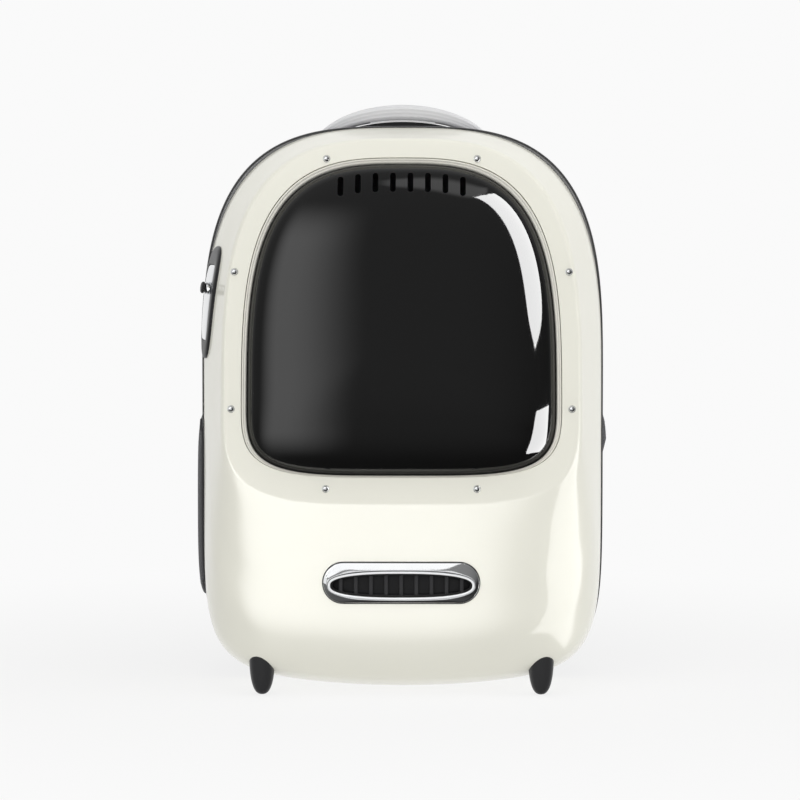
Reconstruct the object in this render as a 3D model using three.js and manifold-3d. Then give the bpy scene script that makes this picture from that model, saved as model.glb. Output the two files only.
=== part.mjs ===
// Pet carrier backpack: a hard white front shell with a smoked bubble window, joined along a
// zipped seam to a soft grey back with shoulder straps. It stands by itself on four short feet.
// Millimetres, +Z up. The window faces -Y and the wearer's back is at +Y.
import * as THREE from 'three';
import { mergeVertices } from 'three/addons/utils/BufferGeometryUtils.js';
import Module from 'manifold-3d';

const wasm = await Module();
wasm.setup();

// Driving dimensions
const GAP = 0.4; // clearance between neighbouring pieces
const WIDE_Z = 238; // height at which the body is widest
const CROWN_POWER = 3.05; // squareness of the arched top of the front's sections
const BACK_CROWN_POWER = 3.22; // the soft back is a little fuller at the shoulders
const LEAN = Math.tan(THREE.MathUtils.degToRad(12)); // the window ring leans back
const RING_DEPTH = 104; // window ring in front of the seam plane, at the widest height
const SHELL_WALL = 3;
const BACK_WALL = 3;
const BACK_DEPTH = 106; // flat back panel behind the seam plane
const BODY_STEPS = 2; // rows between two tabled sections
const BODY_COLUMNS = 44; // points round a section of the body
const CROWDING = { crown: 2.7, base: 3.6 }; // how far the columns gather at the rounded corners

// Sections of the front shell from the window opening to the seam, outermost last.
// depth is the distance in front of the seam at the widest height, chin the extra forward
// swell at the bottom, corner the squareness of the lower corners, sag the droop of the bottom.
const FRONT_SECTIONS = [
  { name: 'opening', halfWidth: 122.5, top: 415.5, bottom: 172.5, corner: 4.3, sag: 0, depth: 104, chin: 0 },
  { name: 'ring_edge', halfWidth: 134.6, top: 427.6, bottom: 154, corner: 4.2, sag: 0, depth: 104, chin: 0 },
  { name: 'ring_roll', halfWidth: 137.4, top: 429.8, bottom: 148, corner: 4.3, sag: 0, depth: 101, chin: 3 },
  { name: 'brow', halfWidth: 141, top: 431.6, bottom: 121, corner: 4.7, sag: 2, depth: 85, chin: 19.5 },
  { name: 'chin', halfWidth: 145, top: 433.4, bottom: 86, corner: 5.2, sag: 5, depth: 67, chin: 39 },
  { name: 'jaw', halfWidth: 149, top: 435, bottom: 46, corner: 6.4, sag: 10, depth: 49, chin: 55 },
  { name: 'belly', halfWidth: 152.6, top: 436.6, bottom: 17, corner: 7.4, sag: 15, depth: 32, chin: 57 },
  { name: 'keel', halfWidth: 155.4, top: 438, bottom: 6, corner: 8, sag: 18, depth: 16, chin: 32 },
  { name: 'seam', halfWidth: 157, top: 439, bottom: 6, corner: 8.2, sag: 18, depth: 0, chin: 0 },
];

// Sections of the soft back from the zip to the flat back panel; depth is behind the seam.
const BACK_SECTIONS = [
  { name: 'zip_edge', halfWidth: 156, top: 437.6, bottom: 7, corner: 8, sag: 18, depth: 6.2 },
  { name: 'cheek', halfWidth: 157.5, top: 435.8, bottom: 6.5, corner: 7.6, sag: 17, depth: 40 },
  { name: 'flank', halfWidth: 154, top: 431, bottom: 11, corner: 6, sag: 15, depth: 78 },
  { name: 'shoulder', halfWidth: 146, top: 423, bottom: 22, corner: 5.4, sag: 12, depth: 98 },
  { name: 'panel_edge', halfWidth: 130, top: 408, bottom: 40, corner: 5, sag: 8, depth: BACK_DEPTH },
  { name: 'panel_mid', halfWidth: 70, top: 320, bottom: 130, corner: 4, sag: 3, depth: BACK_DEPTH },
];

const ZIP = { front: GAP, back: 5.8, proud: 1.3, sunk: 2.6, margin: 1 };

const VISOR = { inset: 4.2, recess: 8, bulge: 33, power: 2.5, wall: 2.5, rings: 6, hub: 0.1 };
const VISOR_SLOT = { count: 8, pitch: 13.4, width: 4.4, height: 14.5, drop: 19, columns: 8 };
const GASKET = { front: 0.8, lip: 4.2, back: 10.5 };

const RIVET = { radius: 2.9, height: 2.2, root: 2, sides: 8 };
const RIVET_EDGE = { rim: 0.25, crest: 0.85, crestRadius: 0.65 }; // shares of the height and the radius
const RIVET_SPOTS = [
  { x: 58, z: 414.5 },
  { x: 128.2, z: 328 },
  { x: 130, z: 224 },
  { x: 57.5, z: 164 },
];

// The vent on the chin: a chrome stadium whose upper rim is the wider one, round an oval grille.
const VENT = { columns: 28, cutEnd: -84 };
const BEZEL = { z: 93.1, halfLength: 59.4, halfHeight: 15.4 };
const BEZEL_EDGE = { proud: 3, rim: 1.2, root: 2, bevel: 2, lip: 1.4, lipProud: 2.4 };
const GRILLE = { z: 91.1, halfLength: 54, halfHeight: 9.1, power: 2.6, thickness: 3, sunk: 1.6, margin: 1.6 };
const GRILLE_BAR = { count: 9, pitch: 11.5, width: 3, sunk: 0.5 };

// The feet stand on the floor, which lies at the height of their tips.
const FOOT = { x: 107, yFront: -98, yBack: 66, tip: 4.2 };
const FOOT_PEG = { radius: 10, taper: 34, flat: 3, height: 48, sides: 14 };
const FOOT_LEVELS = [0, 0.06, 0.16, 0.32, 0.6, 1]; // shares of the taper, closer at the tip

const HANDLE_BASE = { front: 15, back: 21, leg: 6.1 }; // dark plate under the handle's front edge
const HANDLE = { halfSpan: 73, rise: 39.4, peak: 457.2, grip: 12.6, leg: 4.6, width: 30, y: 27 };
const HANDLE_MESH = { steps: 14, sides: 12, squareness: 5 };

// A pocket is a thin cloth dome on the side of the body, held close along all its edges.
const POCKET = { bottom: 68, top: 214, bulge: 7.5, wall: 1.8, skirt: 14, power: 3.2, corner: 3.4 };
const POCKET_MESH = { columns: 20, rings: 4, hub: 0.12 };
const POCKET_SIDES = [
  { side: 'left', sign: -1, front: -10, back: 74, reach: 163 },
  { side: 'right', sign: 1, front: 10, back: 74, reach: 163 },
];

// The latch on the left flank: a long rounded plate that follows the shell, a bright bar set into
// it, and a round knob on a collar. A lift is a distance off the shell's face.
const LATCH = { y: -26, z: 302.5, halfWidth: 23, halfHeight: 44, power: 2.6, lean: 0.1, columns: 14 };
const LATCH_BAR = { halfWidth: 15, halfHeight: 30, power: 5, top: 2.6 };
const LATCH_COLLAR = { radius: 5, top: 6.3 };
const LATCH_KNOB = { y: -36, z: 313.5, radius: 4.6, top: 9.5, bevel: 0.5, sides: 10 };

// Loops of the plate, of the floor that the bar lies in and of the bar, each as a share of its outline.
const LATCH_PLATE_LOOPS = [
  { share: 1, lift: -SHELL_WALL },
  { share: 1, lift: 1.4 },
  { share: 0.9, lift: 2.4 },
];
const LATCH_FLOOR_LOOPS = [
  { share: 1, lift: 2.4 },
  { share: 1, lift: 1.1 },
  { share: 0.6, lift: 1.1 },
  { share: 0.2, lift: 1.1 },
];
const LATCH_BAR_LOOPS = [
  { share: 0.2, lift: 1.5 },
  { share: 0.6, lift: 1.5 },
  { share: 1, lift: 1.5 },
  { share: 1, lift: 2 },
  { share: 0.8, lift: LATCH_BAR.top },
  { share: 0.4, lift: LATCH_BAR.top },
  { share: 0.2, lift: LATCH_BAR.top },
];

const PAD = { halfWidth: 96, bottom: 92, top: 362, thickness: 11, corner: 5, columns: 32 };

// The pad's rounded edge from the back panel outwards: inset of its outline and share of its thickness.
const PAD_EDGE = [
  { inset: 2, share: 0 },
  { inset: 0, share: 0.3 },
  { inset: 0, share: 0.65 },
  { inset: 5, share: 0.92 },
  { inset: 16, share: 1 },
  { inset: 60, share: 1 },
];

// Shoulder strap stations from the top anchor to the lower end: x is outward from the middle.
const STRAP_STATIONS = [
  { x: 46, y: 107.5, z: 398, width: 58, thickness: 8 },
  { x: 47, y: 120, z: 382, width: 60, thickness: 12 },
  { x: 52, y: 135, z: 345, width: 64, thickness: 15 },
  { x: 60, y: 142, z: 290, width: 64, thickness: 15 },
  { x: 70, y: 141, z: 230, width: 60, thickness: 14 },
  { x: 80, y: 134, z: 178, width: 50, thickness: 12 },
  { x: 86, y: 127, z: 149.5, width: 40, thickness: 9 },
];
// The webbing runs from the buckle at the strap's end to the foot of the back panel.
const WEBBING_STATIONS = [
  { x: 93, y: 119.5, z: 114, width: 25, thickness: 2 },
  { x: 99, y: 112, z: 86, width: 25, thickness: 2 },
  { x: 104, y: 107.6, z: 64, width: 25, thickness: 2 },
];
const BUCKLE = { width: 34, height: 7.4, thickness: 5 };
const STRAP_MESH = { sides: 8, steps: 3, squareness: 3 };
const WEBBING_MESH = { sides: 8, steps: 2, squareness: 8 };

// Materials
const finish = (color, roughness, metalness = 0) =>
  new THREE.MeshStandardMaterial({ color, roughness, metalness });
const gloss_white = finish(0xefeee4, 0.18);
const smoked_window = finish(0x141414, 0.06);
const clear_trim = finish(0xa8a396, 0.3);
const chrome = finish(0xc8c9cb, 0.1, 1);
const black_plastic = finish(0x262626, 0.42);
const foot_rubber = finish(0x1c1c1d, 0.5);
const grey_fabric = finish(0x9b9b9c, 0.85);
const charcoal_fabric = finish(0x47474a, 0.9);
const handle_grey = finish(0xc6c6c9, 0.5);
const zip_black = finish(0x2e2e2f, 0.6);

// Solids by code

// Joins loops of equally many points by quads. A ring closes on itself, and any other loft is
// capped at both ends by a fan. The faces are turned outwards.
function loft(loops, { ring = false } = {}) {
  const count = loops[0].length;
  const points = loops.flat();
  const faces = [];
  const spans = ring ? loops.length : loops.length - 1;
  for (let row = 0; row < spans; row++) {
    const next = (row + 1) % loops.length;
    for (let i = 0; i < count; i++) {
      const j = (i + 1) % count;
      const [a, b] = [row * count + i, row * count + j];
      const [c, d] = [next * count + j, next * count + i];
      faces.push(a, b, c, a, c, d);
    }
  }
  if (!ring) {
    const fan = (row, flip) => {
      const centre = loops[row].reduce((sum, p) => sum.add(p), new THREE.Vector3()).divideScalar(count);
      const hub = points.push(centre) - 1;
      for (let i = 0; i < count; i++) {
        const [a, b] = [row * count + i, row * count + ((i + 1) % count)];
        faces.push(...(flip ? [hub, b, a] : [hub, a, b]));
      }
    };
    fan(0, true);
    fan(loops.length - 1, false);
  }
  const geometry = new THREE.BufferGeometry().setFromPoints(points);
  geometry.setIndex(faces);
  return facingOut(geometry);
}

// The signed volume is negative when the faces point inwards, and then each one is turned.
function facingOut(geometry) {
  const [index, position] = [geometry.index.array, geometry.attributes.position];
  const [a, b, c] = [new THREE.Vector3(), new THREE.Vector3(), new THREE.Vector3()];
  let volume = 0;
  for (let i = 0; i < index.length; i += 3) {
    a.fromBufferAttribute(position, index[i]);
    b.fromBufferAttribute(position, index[i + 1]);
    c.fromBufferAttribute(position, index[i + 2]);
    volume += a.dot(b.cross(c));
  }
  if (volume < 0) {
    for (let i = 0; i < index.length; i += 3) [index[i + 1], index[i + 2]] = [index[i + 2], index[i + 1]];
  }
  return geometry;
}

const solidOf = (geometry) => {
  const bare = geometry.clone();
  bare.deleteAttribute('normal');
  bare.deleteAttribute('uv');
  const merged = mergeVertices(bare, 1e-4);
  const vertProperties = merged.attributes.position.array;
  const triVerts = Uint32Array.from(merged.index.array);
  return new wasm.Manifold(new wasm.Mesh({ numProp: 3, vertProperties, triVerts }));
};

const geometryOf = (solid) => {
  const mesh = solid.getMesh();
  const geometry = new THREE.BufferGeometry();
  geometry.setAttribute('position', new THREE.BufferAttribute(Float32Array.from(mesh.vertProperties), 3));
  geometry.setIndex(Array.from(mesh.triVerts));
  return geometry;
};

const cut = (geometry, ...tools) =>
  geometryOf(tools.reduce((solid, tool) => solid.subtract(solidOf(tool)), solidOf(geometry)));

const join = (...geometries) => geometryOf(geometries.map(solidOf).reduce((all, next) => all.add(next)));

// Each numeric column of a table, carried through its rows by a smooth curve that never overshoots.
function smoothRows(rows, steps) {
  const slope = (before, after) => (before * after <= 0 ? 0 : (2 * before * after) / (before + after));
  const ease = (b, c, slopeB, slopeC, t) =>
    (2 * t ** 3 - 3 * t ** 2 + 1) * b + (t ** 3 - 2 * t ** 2 + t) * slopeB
    + (3 * t ** 2 - 2 * t ** 3) * c + (t ** 3 - t ** 2) * slopeC;
  const columns = Object.keys(rows[0]).filter((key) => typeof rows[0][key] === 'number');
  const valueAt = (key, row, t) => {
    const run = (k) => rows[k + 1][key] - rows[k][key];
    const here = run(row);
    const before = row > 0 ? run(row - 1) : here;
    const after = row < rows.length - 2 ? run(row + 1) : here;
    return ease(rows[row][key], rows[row + 1][key], slope(before, here), slope(here, after), t);
  };
  const smooth = [];
  for (let row = 0; row < rows.length - 1; row++) {
    for (let step = 0; step < steps; step++) {
      smooth.push(Object.fromEntries(columns.map((key) => [key, valueAt(key, row, step / steps)])));
    }
  }
  return [...smooth, { ...rows.at(-1) }];
}

const angles = (count) => Array.from({ length: count }, (_, i) => (2 * Math.PI * i) / count);

const gather = (share, power) => Math.sign(share) * Math.abs(share) ** (2 / power);

// Distance from the middle of a squared oval to its edge, in the direction of an angle.
const ovalRadius = (angle, a, b, power) =>
  ((Math.abs(Math.cos(angle)) / a) ** power + (Math.abs(Math.sin(angle)) / b) ** power) ** (-1 / power);

// A point of a body section: an arched top, squarer lower corners and a drooping bottom.
// The points gather at the corners. facing is -1 on the front and 1 on the back.
function sectionPoint(section, turn, facing) {
  const { halfWidth, top, bottom, corner, sag, depth, chin = 0 } = section;
  const upper = Math.sin(turn) >= 0;
  const height = upper ? top - WIDE_Z : WIDE_Z - bottom - sag;
  const crowding = upper ? CROWDING.crown : CROWDING.base;
  const [across, up] = [gather(Math.cos(turn), crowding), gather(Math.sin(turn), crowding)];
  const angle = Math.atan2(up * height, across * halfWidth);
  const crown = facing > 0 ? BACK_CROWN_POWER : CROWN_POWER;
  const radius = ovalRadius(angle, halfWidth, height, upper ? crown : corner);
  const x = radius * Math.cos(angle);
  const rise = radius * Math.sin(angle);
  const fall = upper ? 0 : -rise / height;
  const z = WIDE_Z + rise - sag * fall ** 2 * (1 - (x / halfWidth) ** 2);
  if (facing > 0) return new THREE.Vector3(x, depth, z);
  const leaned = depth * (1 - (LEAN * (z - WIDE_Z)) / RING_DEPTH);
  return new THREE.Vector3(x, -leaned - chin * fall ** 2, z);
}

const sectionLoop = (section, facing) =>
  angles(BODY_COLUMNS).map((turn) => sectionPoint(section, turn, facing));

// The inside of a wall needs only the tabled sections.
const tabledOnly = (loops) => loops.filter((_, row) => row % BODY_STEPS === 0);

// The loops moved along their surface's normals by a distance, inwards when it is negative.
function offsetLoops(loops, distance) {
  const count = loops[0].length;
  const normalAt = (row, i) => {
    const along = loops[row][(i + 1) % count].clone().sub(loops[row][(i + count - 1) % count]);
    const next = loops[Math.min(row + 1, loops.length - 1)][i];
    const across = next.clone().sub(loops[Math.max(row - 1, 0)][i]);
    return along.cross(across).normalize();
  };
  return loops.map((loop, row) => loop.map((p, i) => p.clone().addScaledVector(normalAt(row, i), distance)));
}

const flatten = (loop, y) => loop.map((p) => new THREE.Vector3(p.x, y, p.z));

// A prism along Y through a closed outline in X and Z.
const prism = (outline, front, back) =>
  loft([front, back].map((y) => outline.map((p) => new THREE.Vector3(p.x, y, p.z))));

// A stadium, upright or lying, as an outline in X and Z.
function stadium(x, z, halfX, halfZ, columns) {
  const radius = Math.min(halfX, halfZ);
  const [runX, runZ] = [halfX - radius, halfZ - radius];
  return angles(columns).map((turn) => {
    const angle = turn + Math.PI / columns;
    return {
      x: x + radius * Math.cos(angle) + runX * Math.sign(Math.cos(angle)),
      z: z + radius * Math.sin(angle) + runZ * Math.sign(Math.sin(angle)),
    };
  });
}

// A squared oval as an outline in X and Z, with its points closer together at its round ends.
const squaredOval = (x, z, halfX, halfZ, power, columns) =>
  angles(columns).map((turn) => ({
    x: x + halfX * gather(Math.cos(turn), power),
    z: z + halfZ * gather(Math.sin(turn), power),
  }));

// The body's surfaces

const frontRows = smoothRows(FRONT_SECTIONS, BODY_STEPS);
const frontOuter = frontRows.map((row) => sectionLoop(row, -1));
const backRows = smoothRows(BACK_SECTIONS, BODY_STEPS);
const backOuter = backRows.map((row) => sectionLoop(row, 1));

// Whether the loops' normals point outwards (1) or inwards (-1), read at a side of the middle loop.
function outward(loops) {
  const row = Math.floor(loops.length / 2);
  return Math.sign(offsetLoops(loops, 1)[row][0].x - loops[row][0].x);
}

const FRONT_OUT = outward(frontOuter);
const BACK_OUT = outward(backOuter);

// Solid blanks of the front and back, a clearance larger than the body, for seating pieces on it.
const frontBlank = loft(offsetLoops(frontOuter, FRONT_OUT * GAP));
const backBlank = loft(offsetLoops(backOuter, BACK_OUT * GAP));

const frontFace = new THREE.Mesh(loft(frontOuter));
const FAR = 400; // a start outside the part for rays and cuts

// The first point of a surface met by a ray, with the surface's outward normal.
function meet(face, origin, direction) {
  const [hit] = new THREE.Raycaster(origin, direction).intersectObject(face);
  return { point: hit.point, normal: hit.face.normal };
}

const frontAt = (x, z) => meet(frontFace, new THREE.Vector3(x, -FAR, z), new THREE.Vector3(0, 1, 0));

// Shells

function makeFrontShell() {
  const inner = tabledOnly(offsetLoops(frontOuter, -FRONT_OUT * SHELL_WALL));
  inner[inner.length - 1] = flatten(inner.at(-1), frontOuter.at(-1)[0].y);
  const shell = loft([...frontOuter, ...inner.toReversed()], { ring: true });
  return cut(shell, prism(grilleOval(-GAP), -FAR, VENT.cutEnd));
}

function makeBackShell() {
  const inner = tabledOnly(offsetLoops(backOuter, -BACK_OUT * BACK_WALL));
  inner[0] = flatten(inner[0], backOuter[0][0].y);
  return loft([...inner.toReversed(), ...backOuter]);
}

// The seam's outline, grown all round and set at a depth behind the seam plane.
function zipLoop(grow, depth) {
  const { halfWidth, top, bottom, ...rest } = FRONT_SECTIONS.at(-1);
  const grown = { halfWidth: halfWidth + grow, top: top + grow, bottom: bottom - grow };
  return sectionLoop({ ...rest, ...grown, depth }, 1);
}

function makeSeamZip() {
  const { front, back, proud, sunk } = ZIP;
  const loops = [zipLoop(proud, front), zipLoop(proud, back), zipLoop(-sunk, back), zipLoop(-sunk, front)];
  return loft(loops, { ring: true });
}

// Window

const ringNormal = new THREE.Vector3(0, -1, LEAN).normalize();

// The outline of the window opening, drawn in by an inset and set back behind the ring's face.
function windowLoop(inset, recess) {
  const { halfWidth, top, bottom, ...rest } = FRONT_SECTIONS[0];
  const section = { ...rest, halfWidth: halfWidth - inset, top: top - inset, bottom: bottom + inset };
  return sectionLoop(section, -1).map((p) => p.addScaledVector(ringNormal, -recess));
}

function makeVisor() {
  const { inset, recess, bulge, power, wall, rings, hub } = VISOR;
  const rim = windowLoop(inset + GAP, recess);
  const middle = rim.reduce((sum, p) => sum.add(p), new THREE.Vector3()).divideScalar(rim.length);
  const dome = Array.from({ length: rings }, (_, ring) => {
    const turn = ((Math.PI / 2) * ring) / rings;
    const [share, lift] = [Math.cos(turn) ** (2 / power), Math.sin(turn) ** (2 / power)];
    return { share: Math.max(share, hub), lift: lift * bulge };
  });
  const outer = dome.map(({ share, lift }) =>
    rim.map((p) => middle.clone().lerp(p, share).addScaledVector(ringNormal, lift)));
  const inner = offsetLoops(outer, -wall * outward(outer))
    .filter((_, ring) => ring % 2 === 0 || ring === rings - 1);
  const shell = loft([...outer.toReversed(), ...inner]);
  const slots = Array.from({ length: VISOR_SLOT.count }, (_, i) => {
    const { count, pitch, width, height, drop, columns } = VISOR_SLOT;
    const x = (i - (count - 1) / 2) * pitch;
    return prism(stadium(x, windowTopAt(x) - drop, width / 2, height / 2, columns), -FAR, 0);
  });
  return cut(shell, ...slots);
}

// Height of the window opening's arched edge at a distance from the middle.
function windowTopAt(x) {
  const { halfWidth, top } = FRONT_SECTIONS[0];
  return WIDE_Z + (top - WIDE_Z) * (1 - Math.abs(x / halfWidth) ** CROWN_POWER) ** (1 / CROWN_POWER);
}

function makeVisorGasket() {
  const { front, lip, back } = GASKET;
  const [outside, inside] = [GAP, VISOR.inset];
  const loops = [[outside, front], [inside, lip], [inside, back], [outside, back]];
  return loft(loops.map(([inset, recess]) => windowLoop(inset, recess)), { ring: true });
}

// Small hardware on the shell

// A round head turned about its axis, which starts at the origin along +Z.
function turned(profile, sides) {
  const points = profile.map(([radius, height]) => new THREE.Vector2(radius, height));
  return new THREE.LatheGeometry(points, sides).rotateX(Math.PI / 2);
}

// Places a shape whose axis is +Z on a point, with the axis along a direction.
const seat = (geometry, point, direction) => {
  const turn = new THREE.Quaternion().setFromUnitVectors(new THREE.Vector3(0, 0, 1), direction);
  return geometry.applyQuaternion(turn).translate(point.x, point.y, point.z);
};

function makeRivet(x, z) {
  const { radius, height, root, sides } = RIVET;
  const { rim, crest, crestRadius } = RIVET_EDGE;
  const dome = [[radius, rim * height], [crestRadius * radius, crest * height], [0, height]];
  const { point, normal } = frontAt(x, z);
  return cut(seat(turned([[0, -root], [radius, -root], ...dome], sides), point, normal), frontBlank);
}

// A loop on the shell's face, lifted off it along -Y.
const onFront = (outline, lift) =>
  outline.map(({ x, z }) => new THREE.Vector3(x, frontAt(x, z).point.y - lift, z));

// An outline of the vent about a height, with points spread evenly along its long sides.
const ventOutline = (z, radiusAt) =>
  angles(VENT.columns).map((turn) => {
    const angle = Math.atan2(BEZEL.halfHeight * Math.sin(turn), BEZEL.halfLength * Math.cos(turn));
    const radius = radiusAt(angle);
    return { x: radius * Math.cos(angle), z: z + radius * Math.sin(angle) };
  });

// Distance from the middle of a lying stadium to its edge, in the direction of an angle.
function stadiumRadius(angle, halfLength, halfHeight) {
  const run = halfLength - halfHeight;
  const [across, up] = [Math.abs(Math.cos(angle)), Math.abs(Math.sin(angle))];
  if (across * halfHeight <= run * up) return halfHeight / up;
  return run * across + Math.sqrt(halfHeight ** 2 - (run * up) ** 2);
}

function bezelOval(inset) {
  const { z, halfLength, halfHeight } = BEZEL;
  return ventOutline(z, (angle) => stadiumRadius(angle, halfLength - inset, halfHeight - inset));
}

function grilleOval(inset) {
  const { z, halfLength, halfHeight, power } = GRILLE;
  return ventOutline(z, (angle) => ovalRadius(angle, halfLength - inset, halfHeight - inset, power));
}

function makeVentBezel() {
  const { proud, rim, root, bevel, lip, lipProud } = BEZEL_EDGE;
  const loops = [
    onFront(bezelOval(0), -root),
    onFront(bezelOval(0), rim),
    onFront(bezelOval(bevel), proud),
    onFront(grilleOval(-lip), lipProud),
    onFront(grilleOval(0), rim),
    onFront(grilleOval(0), -root),
  ];
  return cut(loft(loops, { ring: true }), frontBlank);
}

// An oval frame behind the bezel with upright bars across it.
function makeVentGrille() {
  const { z, halfLength, halfHeight, power, thickness, sunk, margin } = GRILLE;
  const [front, back] = [-sunk, -sunk - thickness];
  const rims = [[0, front], [0, back], [margin, back], [margin, front]];
  const frame = loft(rims.map(([inset, lift]) => onFront(grilleOval(inset), lift)), { ring: true });
  const { count, pitch, width, sunk: barSunk } = GRILLE_BAR;
  const bars = Array.from({ length: count }, (_, i) => {
    const x = (i - (count - 1) / 2) * pitch;
    const [left, right] = [x - width / 2, x + width / 2];
    const reach = Math.max(Math.abs(left), Math.abs(right)) / (halfLength - margin / 2);
    const half = (halfHeight - margin / 2) * (1 - reach ** power) ** (1 / power);
    const corners = [[left, -half], [right, -half], [right, half], [left, half]];
    const outline = corners.map(([cornerX, up]) => ({ x: cornerX, z: z + up }));
    return loft([onFront(outline, front - barSunk), onFront(outline, back + barSunk)]);
  });
  return join(frame, ...bars);
}

// Feet

function makeFoot(x, y) {
  const { radius, taper, flat, height, sides } = FOOT_PEG;
  const start = taper * (1 - Math.sqrt(1 - (flat / radius) ** 2));
  const levels = FOOT_LEVELS.map((share) => start + share * (taper - start));
  const profile = levels.map((level) => [radius * Math.sqrt(1 - (1 - level / taper) ** 2), level - start]);
  const peg = turned([[0, 0], ...profile, [radius, height], [0, height]], sides).translate(x, y, FOOT.tip);
  return cut(peg, y < 0 ? frontBlank : backBlank);
}

// Carry handle

const HANDLE_REACH = THREE.MathUtils.degToRad(78); // the ends of the arch run on into the back

// Points of the handle's upper and lower lines, which are arcs of ellipses, at an angle from the top.
function handleLines(angle, leg = HANDLE.leg, clearance = 0) {
  const { halfSpan, rise, peak, grip } = HANDLE;
  const at = (across, up) =>
    new THREE.Vector3(across * Math.sin(angle), HANDLE.y, peak - rise + up * Math.cos(angle));
  return { upper: at(halfSpan, rise), lower: at(halfSpan - leg, rise - grip - clearance) };
}

function makeCarryHandle() {
  const { steps, sides, squareness } = HANDLE_MESH;
  const loops = Array.from({ length: steps + 1 }, (_, i) => {
    const { upper, lower } = handleLines(HANDLE_REACH * ((2 * i) / steps - 1));
    const middle = upper.clone().lerp(lower, 0.5);
    const out = upper.clone().sub(middle);
    return angles(sides).map((corner) => {
      const turn = corner + Math.PI / sides;
      const r = ovalRadius(turn, HANDLE.width / 2, 1, squareness);
      const aside = new THREE.Vector3(0, r * Math.cos(turn), 0);
      return middle.clone().addScaledVector(out, r * Math.sin(turn)).add(aside);
    });
  });
  return cut(loft(loops), backBlank);
}

// The plate closes the front of the arch; fingers go in behind it.
function makeHandleBase() {
  const { front, back, leg } = HANDLE_BASE;
  const { steps } = HANDLE_MESH;
  const arch = Array.from({ length: steps + 1 }, (_, i) =>
    handleLines(HANDLE_REACH * ((2 * i) / steps - 1), leg, 2 * GAP).lower);
  return cut(prism(arch, front, back), backBlank);
}

// Side pockets

function makePocket({ sign, front, back, reach }) {
  const { bottom, top, bulge, wall, power, corner } = POCKET;
  const { columns, rings, hub } = POCKET_MESH;
  const [midY, midZ] = [(front + back) / 2, (bottom + top) / 2];
  const outline = squaredOval(midY, midZ, (back - front) / 2, (top - bottom) / 2, corner, columns);
  const dome = Array.from({ length: rings }, (_, ring) => {
    const turn = ((Math.PI / 2) * ring) / rings;
    const share = Math.max(Math.cos(turn) ** (2 / power), hub);
    return { share, lift: bulge * Math.sin(turn) ** (2 / power) };
  });
  const rimX = reach - bulge - POCKET.skirt;
  const skirt = outline.map((p) => new THREE.Vector3(sign * rimX, p.x, p.z));
  const outer = dome.map(({ share, lift }) => {
    const centre = new THREE.Vector3(sign * (reach - bulge + lift), midY, midZ);
    return outline.map((p) => centre.clone().lerp(new THREE.Vector3(centre.x, p.x, p.z), share));
  });
  const inner = [skirt, ...outer].map((loop) => loop.map((p) => {
    const centre = new THREE.Vector3(p.x, midY, midZ);
    const pulled = p.clone().sub(centre);
    pulled.setLength(Math.max(pulled.length() - wall, 1));
    return centre.add(pulled).add(new THREE.Vector3(p.x === sign * rimX ? 0 : -sign * wall, 0, 0));
  }));
  const cloth = loft([...outer.toReversed(), skirt, ...inner]);
  return cut(cloth, frontBlank, backBlank, zipBlank());
}

// The zip band, a clearance larger, for pieces that cross the seam.
function zipBlank() {
  const { back, proud, margin } = ZIP;
  return loft([-margin, back + margin].map((depth) => zipLoop(proud + GAP, depth)));
}

// Latch on the left flank

const flankAt = (y, z) => meet(frontFace, new THREE.Vector3(-FAR, y, z), new THREE.Vector3(1, 0, 0));

// A leaning oval on the flank, drawn in by a share of its size and lifted off the shell.
function flankLoop({ halfWidth, halfHeight, power }, share, lift) {
  const { y, z, lean, columns } = LATCH;
  return squaredOval(0, 0, share * halfWidth, share * halfHeight, power, columns).map((p) => {
    const [atY, atZ] = [y + p.x - lean * p.z, z + p.z];
    return new THREE.Vector3(flankAt(atY, atZ).point.x - lift, atY, atZ);
  });
}

const flankLoops = (oval, loops) => loops.map(({ share, lift }) => flankLoop(oval, share, lift));

function makeLatchBase() {
  const { halfWidth, halfHeight, power } = LATCH_BAR;
  const seatOval = { halfWidth: halfWidth + GAP, halfHeight: halfHeight + GAP, power };
  const loops = [...flankLoops(LATCH, LATCH_PLATE_LOOPS), ...flankLoops(seatOval, LATCH_FLOOR_LOOPS)];
  return cut(loft(loops), frontBlank);
}

const makeLatchBar = () => loft(flankLoops(LATCH_BAR, LATCH_BAR_LOOPS));

// A turned piece on the latch's face, standing off the flank between two lifts.
function onLatch(profile) {
  const { y, z, sides } = LATCH_KNOB;
  const { point, normal } = flankAt(y, z);
  return seat(turned(profile, sides), point, normal);
}

function makeLatchCollar() {
  const { radius, top } = LATCH_COLLAR;
  const { bevel } = LATCH_KNOB;
  const foot = LATCH_BAR.top + GAP;
  return onLatch([[0, foot], [radius, foot], [radius, top - bevel], [radius - bevel, top], [0, top]]);
}

function makeLatchKnob() {
  const { radius, top, bevel } = LATCH_KNOB;
  const foot = LATCH_COLLAR.top + GAP;
  const edge = [[radius - bevel, foot], [radius, (foot + top) / 2], [radius / 2, top - bevel / 2]];
  return onLatch([[0, foot], ...edge, [0, top]]);
}

// Back pad and shoulder straps

function makeBackPad() {
  const { halfWidth, bottom, top, thickness, corner, columns } = PAD;
  const [midZ, halfZ] = [(bottom + top) / 2, (top - bottom) / 2];
  const loops = PAD_EDGE.map(({ inset, share }) =>
    squaredOval(0, midZ, halfWidth - inset, halfZ - inset, corner, columns)
      .map((p) => new THREE.Vector3(p.x, BACK_DEPTH + GAP + share * thickness, p.z)));
  return loft(loops);
}

// Unit vectors at a place of a band: along it, away from the back and across it.
function bandAxes(line, i) {
  const run = line[Math.min(i + 1, line.length - 1)].clone().sub(line[Math.max(i - 1, 0)]).normalize();
  const away = new THREE.Vector3(0, 1, 0).addScaledVector(run, -run.y).normalize();
  return { run, away, across: run.clone().cross(away) };
}

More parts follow.
